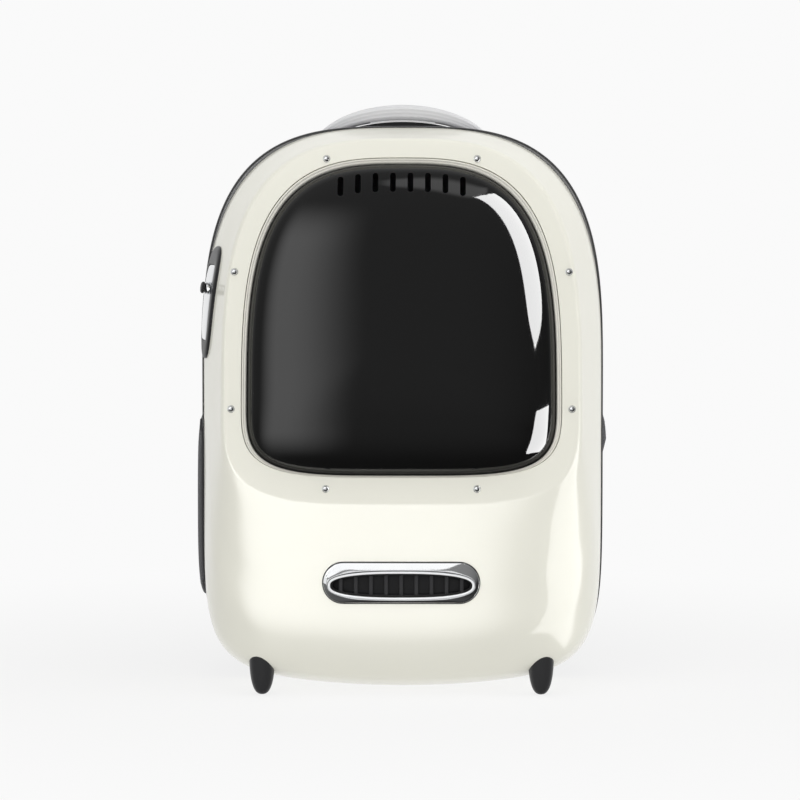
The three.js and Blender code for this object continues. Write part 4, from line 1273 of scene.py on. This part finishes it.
def sew_channels(piece):
    """Presses the sewn channels into the pad's outer face and keeps it off the back panel."""
    finer = piece.modifiers.new("finer", "SUBSURF")
    finer.levels = finer.render_levels = 1
    made_plain(piece)
    points = from_frame(mesh_points(piece))
    face, limit = BACK_DEPTH + GAP, BACK_DEPTH + GAP + PAD["thickness"]
    press = np.zeros(len(points))
    for axis, lines in ((0, PAD_CHANNELS["upright"]), (2, PAD_CHANNELS["across"])):
        for line in lines:
            press = np.maximum(press, np.exp(-((points[:, axis] - line) / PAD_CHANNELS["width"]) ** 2))
    share = np.clip((points[:, 1] - face) / PAD["thickness"], 0, 1)
    points[:, 1] = np.clip(points[:, 1] - press * share * PAD_CHANNELS["depth"], face, limit)
    piece.data.vertices.foreach_set("co", to_frame(points).ravel())
    return piece


def lay_weave(piece):
    """Cloth coordinates straight onto a piece that lies along the back panel."""
    layer = piece.data.uv_layers.get("weave") or piece.data.uv_layers.new(name="weave")
    corners = np.array([loop.vertex_index for loop in piece.data.loops])
    layer.data.foreach_set("uv", mesh_points(piece)[corners][:, [0, 2]].ravel())


def make_back_pad():
    """The padded panel against the wearer's back: air mesh, sewn into channels, with a bound edge."""
    pad = add_piece("back_pad_cushion", (pad_skin(), finish("air_mesh")))
    inflate(pad, **PAD_CLOTH)
    sew_channels(pad)
    lay_weave(pad)
    pad.data.materials.clear()
    pad.data.materials.append(finish("air_mesh"))
    face_outwards(pad.data)
    pad.data.shade_smooth()
    settle(pad, "charcoal_fabric", "back_pad")
    edge = pad_loop(0.0, PAD_BINDING["lift"])
    binding = tube(edge, all_towards(BACKWARDS, len(edge)), PAD_BINDING["radius"], PAD_BINDING["sides"])
    settle(add_piece("back_pad_binding", (binding, finish("binding"))), "charcoal_fabric")


# Shoulder straps, webbing and buckles

# Columns of a band's stations: x, y, z, width, thickness.
BAND_WIDTH, BAND_THICKNESS = 3, 4
STRAP_STATIONS = (
    (46.0, 107.5, 398.0, 58.0, 8.0),
    (47.0, 120.0, 382.0, 60.0, 12.0),
    (52.0, 135.0, 345.0, 64.0, 15.0),
    (60.0, 142.0, 290.0, 64.0, 15.0),
    (70.0, 141.0, 230.0, 60.0, 14.0),
    (80.0, 134.0, 178.0, 50.0, 12.0),
    (86.0, 127.0, 149.5, 40.0, 9.0),
)
WEBBING_STATIONS = (
    (93.0, 119.5, 114.0, 25.0, 2.0),
    (99.0, 112.0, 86.0, 25.0, 2.0),
    (104.0, 107.6, 64.0, 25.0, 2.0),
)
BUCKLE = {"width": 34.0, "height": 7.4, "thickness": 5.0, "slot_width": 27.0, "slot_height": 2.6}
BUCKLE_COLUMNS = 64
# Share of the way from the buckle's edge to its slot, and of half its thickness.
BUCKLE_PROFILE = (
    (0.0, -0.6), (0.0, 0.6), (0.15, 0.95), (0.4, 1.0), (0.8, 1.0),
    (1.0, 0.7), (1.0, -0.7), (0.8, -1.0), (0.4, -1.0), (0.15, -0.95),
)
STRAP_MESH = {"sides": 64, "steps": 14, "power": 3.0, "passes": 20}
WEBBING_MESH = {"sides": 48, "steps": 16, "power": 8.0, "passes": 4}
STRAP_BINDING = {"radius": 1.5, "sides": 8}
STRAP_STITCH_SHARE = 0.8


def band_frame(rows, sign):
    """The line of a band with unit vectors along it, away from the back and across it."""
    line = rows[:, :3] * (sign, 1, 1)
    along = unit(np.gradient(line, axis=0))
    away = unit(np.array(BACKWARDS) - along * along[:, 1:2])
    return line, along, away, np.cross(along, away)


def band_rows(stations, mesh):
    """Stations along a band, with its bends eased."""
    rows = smooth_rows(stations, mesh["steps"])
    return soften(rows[:, None], mesh["passes"])[:, 0]


def band_loops(rows, sign, mesh):
    """Closed loops round a band, rounded at its edges."""
    line, _, away, across = band_frame(rows, sign)
    turn = turns(mesh["sides"])[None, :, None]
    half_width, half_thick = rows[:, BAND_WIDTH, None, None] / 2, rows[:, BAND_THICKNESS, None, None] / 2
    power = mesh["power"]
    return (line[:, None] + half_width * squarer(np.cos(turn), power) * across[:, None]
            + half_thick * squarer(np.sin(turn), power) * away[:, None])


def open_tube(line, radius, sides):
    """A round tube along an open line of points, closed at its ends."""
    along = unit(np.gradient(line, axis=0))
    beside = unit(np.cross(along, BACKWARDS))
    above = np.cross(beside, along)
    turn = turns(sides)[None, :, None]
    return skin(line[:, None] + radius * (np.cos(turn) * beside[:, None] + np.sin(turn) * above[:, None]))


def buckle_skin(rows, sign):
    """A moulded loop at the strap's end, with a slot for the webbing."""
    line, along, away, across = (part[-1] for part in band_frame(rows, sign))
    middle = line + (GAP + BUCKLE["height"] / 2) * along
    half_thick = BUCKLE["thickness"] / 2
    outer = stadium(BUCKLE["width"] / 2, BUCKLE["height"] / 2, BUCKLE_COLUMNS)
    inner = stadium(BUCKLE["slot_width"] / 2, BUCKLE["slot_height"] / 2, BUCKLE_COLUMNS)
    loops = []
    for share, lift in BUCKLE_PROFILE:
        oval = outer + share * (inner - outer)
        loops.append(middle + oval[:, :1] * across + oval[:, 1:] * along + lift * half_thick * away)
    return skin(loops, ring=True)


def webbing_rows(strap_rows):
    """The webbing starts inside the buckle at the strap's end."""
    line, along, _, _ = (part[-1] for part in band_frame(strap_rows, 1))
    start = line + (GAP + BUCKLE["height"] / 2) * along
    first = (*start, *WEBBING_STATIONS[0][BAND_WIDTH:])
    return band_rows((first, *WEBBING_STATIONS), WEBBING_MESH)


def make_strap(name, sign, rows):
    """A padded strap with bound edges and rows of stitches."""
    cloth = skin(band_loops(rows, sign, STRAP_MESH))
    strap = add_piece(f"strap_{name}_padding", (cloth, finish("strap_cloth")))
    settle(strap, "charcoal_fabric", f"strap_{name}")
    line, _, away, across = band_frame(rows, sign)
    half_width, half_thick = rows[:, [BAND_WIDTH]] / 2, rows[:, [BAND_THICKNESS]] / 2
    edges = [open_tube(line + end * half_width * across, STRAP_BINDING["radius"], STRAP_BINDING["sides"])
             for end in SIDES.values()]
    binding = add_piece(f"strap_{name}_binding", *[(edge, finish("binding")) for edge in edges])
    settle(binding, "charcoal_fabric")
    share, power = STRAP_STITCH_SHARE, STRAP_MESH["power"]
    rise = half_thick * (1 - share**power) ** (1 / power)
    lines = [(line + end * share * half_width * across + rise * away, away, False) for end in SIDES.values()]
    settle(stitch_rows(f"strap_{name}_stitches", lines, finish("thread")), "charcoal_fabric")


def make_straps():
    """Padded straps, with buckles and webbing from them down to the panel's foot."""
    rows = band_rows(STRAP_STATIONS, STRAP_MESH)
    for name, sign in SIDES.items():
        make_strap(name, sign, rows)
        buckle = add_piece(f"buckle_{name}_loop", (buckle_skin(rows, sign), finish("satin_black")))
        settle(buckle, "black_plastic", f"buckle_{name}")
        tape = skin(band_loops(webbing_rows(rows), sign, WEBBING_MESH))
        webbing = add_piece(f"webbing_{name}_tape", (tape, finish("webbing")))
        webbing.data.set_sharp_from_angle(angle=CUT_SHARP)
        settle(webbing, "charcoal_fabric", f"webbing_{name}")


# Stage

CAMERA = {"target": (-2.0, 0.0, 224.4), "distance": 3.0, "elevation": 3.5, "azimuth": 0.5, "lens": 170.87,
          "sensor": 36.0}
FLOOR = {"radius": 12.0, "segments": 96, "shadow_share": 0.16, "shadow_from": 0.2, "shadow_to": 0.8,
         "glow": 0.95, "roughness": 0.9}
LIGHT_COLUMNS = ("name", "azimuth", "elevation", "distance", "width", "height", "radiance")
LIGHTS = (
    ("key", -16.0, 24.0, 0.95, 0.85, 0.85, 0.75),
    ("fill", 85.0, 15.0, 2.0, 1.2, 1.2, 2.0),
    ("top", 10.0, 72.0, 1.5, 1.0, 1.0, 2.2),
)
# Lights that only the bright metal shows.
CHROME_PIECES = ("rivets", "vent_bezel_ring", "latch_bright_bar", "latch_ring")
CHROME_LIGHTS = (
    ("chrome_top", -22.0, 40.0, 1.3, 1.2, 1.2, 0.95),
    ("chrome_side", -62.0, 14.0, 1.5, 1.3, 1.2, 0.8),
    ("chrome_front", -10.0, 3.0, 2.4, 2.2, 0.9, 0.7),
)
# Bent cards that only the shell's gloss shows: a wide soft box in front, and a strip at the right.
SHELL_CARDS = (
    {"name": "softbox", "azimuths": (-60.0, 20.0), "elevations": (-75.0, 11.5), "radiance": 8.0,
     "fades": (((0.0, 0.4), (0.91, 0.745)), ((0.0, 0.8), (1.0, 0.99)))},
    {"name": "chin_strip", "azimuths": (30.0, 104.0), "elevations": (-48.0, 8.0), "radiance": 6.5,
     "fades": (((0.0, 0.02), (1.0, 0.8)), ((0.0, 0.06), (1.0, 0.97)))},
)
SHELL_CARD = {"distance": 2.4, "columns": 13, "rows": 9}
# Directions that the room is bright in when it is reflected: how bright, and how closely gathered.
ROOM_SIDES = (
    (BACKWARDS, 0.9, 1.0),
    ((0.0, 0.0, 1.0), 0.3, 1.0),
    ((-1.0, 0.0, 0.0), 0.15, 1.0),
    (FORWARDS, 0.18, 6.0),
)
# Where a card's image shows in the window: a row gives near x, near z, far x and far z of its two edges,
# in millimetres right of and above the middle of the picture.
UPPER_STRIP = (
    (56.8, 161.1, 73.5, 164.1),
    (69.1, 155.0, 85.3, 155.0),
    (78.8, 145.3, 93.2, 145.4),
    (87.5, 130.1, 100.7, 130.4),
    (94.0, 110.6, 107.4, 110.6),
    (98.4, 89.0, 111.4, 89.3),
    (100.1, 71.6, 112.0, 73.5),
    (102.7, 61.6, 111.0, 59.3),
    (106.2, 38.2, 107.2, 38.0),
)
LOWER_STRIP = (
    (108.2, -7.9, 117.5, -2.7),
    (106.7, -16.6, 117.1, -15.0),
    (102.7, -33.7, 115.3, -32.4),
    (99.6, -43.0, 113.6, -40.5),
)
GLOW = (
    (-79.0, 158.0, -6.0, 158.0),
    (-95.6, 134.3, -8.0, 134.3),
    (-109.0, 63.2, -12.0, 63.2),
    (-113.8, -15.8, -16.0, -15.8),
    (-104.0, -47.0, -32.0, -47.0),
)
SLOT_GLOW = (
    (-22.1, 173.8, -22.1, 170.6),
    (-4.0, 175.4, -4.0, 167.5),
    (15.8, 177.0, 15.8, 165.1),
    (39.5, 176.2, 39.5, 161.2),
    (59.3, 170.6, 59.3, 158.0),
    (71.1, 168.3, 71.1, 165.1),
)
CARD = {"distance": 0.45, "steps": 6, "columns": 9, "bends": 4}
STRIP_RADIANCE = 19.0
GLOW_RADIANCE = 1.6
SLOT_GLOW_RADIANCE = 1.1
# Ends of a glow's soft edges, dark and full, as shares of the way across it and down it.
GLOW_FADES = (((0.0, 0.14), (0.86, 0.2)), ((0.0, 0.3), (1.0, 0.8)))
SLOT_GLOW_FADES = (((0.0, 0.3), (1.0, 0.7)), ((0.0, 0.25), (1.0, 0.9)))


def aim_from(azimuth, elevation, distance, target):
    """A point round the target, and the direction from it to the target."""
    a, e = math.radians(azimuth), math.radians(elevation)
    back = Vector((math.sin(a) * math.cos(e), -math.cos(a) * math.cos(e), math.sin(e)))
    return target + distance * back, -back


def make_stage():
    """The camera at the photograph's angle, soft studio lights and a plain pale floor."""
    scene = bpy.context.scene
    studio = scene.carrier_studio
    target = Vector(to_frame([CAMERA["target"]])[0])
    camera = link(bpy.data.objects.new("camera", bpy.data.cameras.new("camera")))
    place, ahead = aim_from(CAMERA["azimuth"], CAMERA["elevation"], CAMERA["distance"], target)
    camera.location, camera.rotation_euler = place, ahead.to_track_quat("-Z", "Y").to_euler()
    camera.data.lens, camera.data.sensor_width = CAMERA["lens"], CAMERA["sensor"]
    scene.camera = camera
    scene.view_settings.view_transform = "Standard"
    for row in LIGHTS:
        add_light(dict(zip(LIGHT_COLUMNS, row)), target, studio.brightness).visible_glossy = False
    for row in CHROME_LIGHTS:
        light = add_light(dict(zip(LIGHT_COLUMNS, row)), target, studio.brightness)
        shines_on(light, f"{light.name}_on", *CHROME_PIECES)
    for settings in SHELL_CARDS:
        card = make_bent_card(settings, target, studio.brightness)
        shines_on(card, f"{settings['name']}_on", "front_shell_moulding")
    strip = glowing("strip_card", STRIP_RADIANCE * studio.brightness)
    glow = glowing("glow_card", GLOW_RADIANCE * studio.brightness, GLOW_FADES)
    slot_glow = glowing("slot_glow_card", SLOT_GLOW_RADIANCE * studio.brightness, SLOT_GLOW_FADES)
    window = dome_loops()
    for name, rows, light in (("upper_strip", UPPER_STRIP, strip), ("lower_strip", LOWER_STRIP, strip),
                              ("glow", GLOW, glow), ("slot_glow", SLOT_GLOW, slot_glow)):
        shines_on(make_card(name, rows, camera, light, window), f"{name}_on", "visor_dome")
    make_floor(studio)
    make_world(studio)


def add_light(settings, target, brightness):
    """A soft rectangular light that looks at the target."""
    name = settings["name"]
    data = bpy.data.lights.new(name, "AREA")
    width, height = settings["width"], settings["height"]
    data.shape, data.size, data.size_y = "RECTANGLE", width, height
    data.energy = settings["radiance"] * math.pi * width * height * brightness
    light = link(bpy.data.objects.new(name, data))
    place, ahead = aim_from(settings["azimuth"], settings["elevation"], settings["distance"], target)
    light.location, light.rotation_euler = place, ahead.to_track_quat("-Z", "Y").to_euler()
    light.visible_camera = False
    return light


def make_bent_card(settings, target, brightness):
    """A card with soft edges, bent round the target."""
    columns = SHELL_CARD["columns"]
    points = [aim_from(azimuth, elevation, SHELL_CARD["distance"], target)[0]
              for elevation in np.linspace(*settings["elevations"], SHELL_CARD["rows"])
              for azimuth in np.linspace(*settings["azimuths"], columns)]
    material = glowing(f"{settings['name']}_card", settings["radiance"] * brightness, settings["fades"])
    return add_card(settings["name"], points, columns, material)


def shines_on(light, name, *pieces):
    """Keeps a light or a card to the named pieces."""
    group = bpy.data.collections.new(name)
    for piece in pieces:
        group.objects.link(bpy.data.objects[piece])
    light.light_linking.receiver_collection = group


def glowing(name, radiance, fades=None):
    """A clear finish that gives light, for cards; fades soften its edges across the card and down it."""
    material = bpy.data.materials.new(name)
    material.use_nodes = True
    tree = material.node_tree
    tree.nodes.clear()
    light = wire(tree, "Emission", Strength=radiance)
    if fades:
        spread = wire(tree, "SeparateXYZ", Vector=wire(tree, "UVMap", {"uv_map": "spread"}).outputs["UV"])
        strength = radiance
        for axis, ends in zip("XY", fades):
            for dark, full in ends:
                fade = wire(tree, "MapRange", {"interpolation_type": "SMOOTHSTEP"}, i0=spread.outputs[axis],
                            i1=dark, i2=full).outputs["Result"]
                strength = maths(tree, "MULTIPLY", fade, strength)
        tree.links.new(strength, light.inputs["Strength"])
    surface = wire(tree, "AddShader", i0=light.outputs[0], i1=wire(tree, "BsdfTransparent").outputs[0])
    leave = wire(tree, "OutputMaterial")
    tree.links.new(surface.outputs[0], leave.inputs["Surface"])
    return material


def make_card(name, rows, camera, material, mirror_loops):
    """A card that only reflections show, set where its image in a glossy skin follows the rows."""
    normals = loop_normals(mirror_loops).reshape(-1, 3)
    faces = grid_faces(*mirror_loops.shape[:2], False)
    corners = to_frame(mirror_loops)
    mirror = face_tree(corners)
    corners = corners.reshape(-1, 3)
    turn = camera.rotation_euler.to_matrix()
    right, above, ahead = turn.col[0], turn.col[1], -turn.col[2]
    middle = camera.location + CAMERA["distance"] * ahead

    def card_point(x, z):
        sight = (middle + right * (x / MM) + above * (z / MM) - camera.location).normalized()
        hit, _, face, _ = mirror.ray_cast(camera.location, sight)
        if hit is None:
            beside = camera.location + (CAMERA["distance"] - RING_DEPTH / MM) * sight
            hit, _, face, _ = mirror.find_nearest(beside)
        near = faces[face]
        weight = 1 / (np.linalg.norm(corners[near] - np.array(hit), axis=1) + TINY)
        normal = Vector(weight @ normals[near]).normalized()
        return hit + CARD["distance"] * sight.reflect(normal)

    stations = smooth_rows(rows, CARD["steps"])
    near, far = stations[:, None, :2], stations[:, None, 2:]
    spots = near + np.linspace(0, 1, CARD["columns"])[:, None] * (far - near)
    points = np.array([card_point(x, z) for x, z in spots.reshape(-1, 2).tolist()])
    points = even_out(points.reshape(len(stations), -1), CARD["bends"]).reshape(-1, 3)
    return add_card(name, points.tolist(), CARD["columns"], material)


def even_out(rows, degree):
    """The rows with every column of numbers laid on a smooth curve of the given degree."""
    steps = np.linspace(-1, 1, len(rows))
    curves = np.polynomial.polynomial.polyfit(steps, rows, degree)
    return np.polynomial.polynomial.polyval(steps, curves).T


def add_card(name, points, columns, material):
    """A grid of points, row by row, as a light-giving card that only reflections show."""
    rows = len(points) // columns
    corner = np.arange(len(points)).reshape(rows, columns)
    quads = np.stack([corner[:-1, :-1], corner[:-1, 1:], corner[1:, 1:], corner[1:, :-1]], axis=-1)
    quads = quads.reshape(-1, 4)
    row, column = np.divmod(quads.ravel(), columns)
    spread = np.column_stack([column / (columns - 1), row / (rows - 1)])
    mesh = bpy.data.meshes.new(name)
    mesh.from_pydata(points, [], quads.tolist())
    mesh.uv_layers.new(name="spread").data.foreach_set("uv", spread.ravel())
    mesh.materials.append(material)
    card = link(bpy.data.objects.new(name, mesh))
    card.visible_camera = card.visible_diffuse = card.visible_shadow = False
    return card


def make_floor(studio):
    """A pale sheet that shows a faint shadow near the carrier and hardly lights it from below."""
    mesh = bpy.data.meshes.new("floor")
    work = bmesh.new()
    bmesh.ops.create_circle(work, cap_ends=True, segments=FLOOR["segments"], radius=FLOOR["radius"])
    work.to_mesh(mesh)
    work.free()
    material, tree, shader = new_finish("floor_sheet", Roughness=FLOOR["roughness"], Specular_IOR_Level=0.0)
    shader.inputs["Base Color"].default_value = (*studio.floor_colour, 1.0)
    reach = wire(tree, "VectorMath", {"operation": "LENGTH"}, i0=place_of(tree)).outputs["Value"]
    share = wire(tree, "MapRange", {"interpolation_type": "SMOOTHSTEP"}, i0=reach, i1=FLOOR["shadow_from"],
                 i2=FLOOR["shadow_to"], i3=FLOOR["shadow_share"], i4=0.0).outputs["Result"]
    seen = wire(tree, "LightPath").outputs["Is Camera Ray"]
    strength = wire(tree, "MapRange", i0=seen, i3=FLOOR["glow"], i4=1.0).outputs["Result"]
    sheet = wire(tree, "Emission", Color=(*studio.backdrop_colour, 1.0), Strength=strength)
    mix = wire(tree, "MixShader", i0=share, i1=sheet.outputs[0], i2=shader.outputs[0])
    tree.links.new(mix.outputs[0], tree.nodes["Material Output"].inputs["Surface"])
    mesh.materials.append(material)
    floor = link(bpy.data.objects.new("floor", mesh))
    floor.visible_glossy = False


def make_world(studio):
    """A pale backdrop, even soft light, and in reflections a dim room with brighter sides."""
    world = bpy.data.worlds.new("studio")
    bpy.context.scene.world = world
    world.use_nodes = True
    tree = world.node_tree
    way = wire(tree, "TexCoord").outputs["Generated"]
    strength = 1.0
    for direction, radiance, gathered in ROOM_SIDES:
        facing = wire(tree, "VectorMath", {"operation": "DOT_PRODUCT"}, i0=way, i1=direction)
        towards = maths(tree, "MAXIMUM", facing.outputs["Value"], 0.0)
        share = maths(tree, "POWER", towards, gathered)
        glow = maths(tree, "MULTIPLY", share, radiance / studio.room_colour[0])
        strength = maths(tree, "ADD", glow, strength)
    room = tree.nodes["Background"]
    room.inputs["Color"].default_value = (*studio.room_colour, 1.0)
    tree.links.new(strength, room.inputs["Strength"])
    backdrop = wire(tree, "Background", Color=(*studio.backdrop_colour, 1.0))
    soft = wire(tree, "Background", Color=(*studio.soft_light, 1.0), Strength=studio.brightness)
    ray = wire(tree, "LightPath")
    diffuse, seen = ray.outputs["Is Diffuse Ray"], ray.outputs["Is Camera Ray"]
    lit = wire(tree, "MixShader", i0=diffuse, i1=room.outputs[0], i2=soft.outputs[0])
    mix = wire(tree, "MixShader", i0=seen, i1=lit.outputs[0], i2=backdrop.outputs[0])
    tree.links.new(mix.outputs[0], tree.nodes["World Output"].inputs["Surface"])


# Panel, settings and operators


class CarrierSizes(bpy.types.PropertyGroup):
    """Sizes of the carrier's details."""

    window_bulge: FloatProperty(
        name="Window bulge", description="How far the window domes out of its rim", default=0.033,
        unit="LENGTH")
    slot_count: IntProperty(
        name="Slots", description="Number of air slots under the window's top edge", default=8, min=0)
    slot_pitch: FloatProperty(
        name="Slot pitch", description="Distance between neighbouring slots", default=0.0134, unit="LENGTH")
    tooth_pitch: FloatProperty(
        name="Tooth pitch", description="Distance between zip teeth", default=0.0023, unit="LENGTH")


def colour_setting(name, description, default):
    """A colour that the panel shows."""
    return FloatVectorProperty(
        name=name, description=description, default=default, subtype="COLOR", min=0.0, max=1.0)


class CarrierColours(bpy.types.PropertyGroup):
    """Colours of the carrier's finishes."""

    shell: colour_setting("Shell", "Glossy front shell", (0.86, 0.85, 0.755))
    window: colour_setting("Window", "Smoked window", (0.005, 0.005, 0.005))
    lip: colour_setting("Lip", "Trim between shell and window", (0.9, 0.88, 0.8))
    chrome: colour_setting("Chrome", "Rivets, bezel and latch", (0.82, 0.83, 0.84))
    black_parts: colour_setting("Black parts", "Grille, feet, latch plate and buckles", (0.02, 0.02, 0.021))
    back_cloth: colour_setting("Back cloth", "Soft back of the carrier", (0.34, 0.34, 0.35))
    dark_cloth: colour_setting("Dark cloth", "Pockets, straps and back pad", (0.055, 0.055, 0.06))
    handle: colour_setting("Handle", "Carry handle", (0.74, 0.74, 0.75))


class CarrierStudio(bpy.types.PropertyGroup):
    """The stage round the carrier."""

    brightness: FloatProperty(
        name="Brightness", description="Strength of all the lights", default=1.0, min=0.0)
    floor_colour: colour_setting("Floor", "Plain pale floor", (0.9, 0.9, 0.89))
    backdrop_colour: colour_setting("Backdrop", "What shows behind the carrier", (0.955, 0.955, 0.955))
    room_colour: colour_setting("Room", "Darkest part of the room in reflections", (0.03, 0.03, 0.03))
    soft_light: colour_setting("Soft light", "Even light from all round", (0.46, 0.46, 0.46))


def piece_operator(key, label, tip, make):
    """An operator class that builds one piece or group of like pieces."""

    def execute(self, context):
        make()
        return {"FINISHED"}

    body = {
        "bl_idname": f"carrier.{key}",
        "bl_label": label,
        "bl_options": {"REGISTER", "UNDO"},
        "__doc__": tip,
        "execute": execute,
    }
    return type(f"CARRIER_OT_{key}", (bpy.types.Operator,), body)


OPERATORS = (
    piece_operator("front_shell", "Front shell", "Build the glossy front shell", make_front_shell),
    piece_operator("back_shell", "Soft back", "Build the soft back and its piping", make_back_shell),
    piece_operator("seam_zip", "Seam zip", "Build the zip along the seam", make_seam_zip),
    piece_operator("window", "Window", "Build the window and its lip", make_window),
    piece_operator("rivets", "Rivets", "Set the rivets on the ring", make_rivets),
    piece_operator("vent", "Vent", "Build the vent's bezel and grille", make_vent),
    piece_operator("feet", "Feet", "Build the four feet", make_feet),
    piece_operator("handle", "Carry handle", "Build the handle and its plate", make_handle),
    piece_operator("pockets", "Pockets", "Build the side pockets", make_pockets),
    piece_operator("latch", "Latch", "Build the side latch", make_latch),
    piece_operator("back_pad", "Back pad", "Build the padded back panel", make_back_pad),
    piece_operator("straps", "Straps", "Build the straps, webbing and buckles", make_straps),
    piece_operator("stage", "Stage", "Add the camera, the lights and the floor", make_stage),
)


class CARRIER_PT_sidebar(bpy.types.Panel):
    """Lists the carrier's pieces and settings"""

    bl_idname = "CARRIER_PT_sidebar"
    bl_label = "Pet Carrier"
    bl_space_type = "VIEW_3D"
    bl_region_type = "UI"
    bl_category = "Carrier"

    def draw(self, context):
        for operator in OPERATORS:
            self.layout.operator(operator.bl_idname)
        for name, settings in SETTINGS.items():
            for key in settings.__annotations__:
                self.layout.prop(getattr(context.scene, name), key)


SETTINGS = {
    "carrier_sizes": CarrierSizes,
    "carrier_colours": CarrierColours,
    "carrier_studio": CarrierStudio,
}
CLASSES = (*SETTINGS.values(), *OPERATORS, CARRIER_PT_sidebar)


def register():
    for cls in CLASSES:
        bpy.utils.register_class(cls)
    for name, settings in SETTINGS.items():
        setattr(bpy.types.Scene, name, PointerProperty(type=settings))


def unregister():
    for name in SETTINGS:
        delattr(bpy.types.Scene, name)
    for cls in reversed(CLASSES):
        bpy.utils.unregister_class(cls)


def main():
    register()
    for operator in OPERATORS:
        getattr(bpy.ops.carrier, operator.bl_idname.split(".")[1])()


if __name__ == "__main__":
    main()
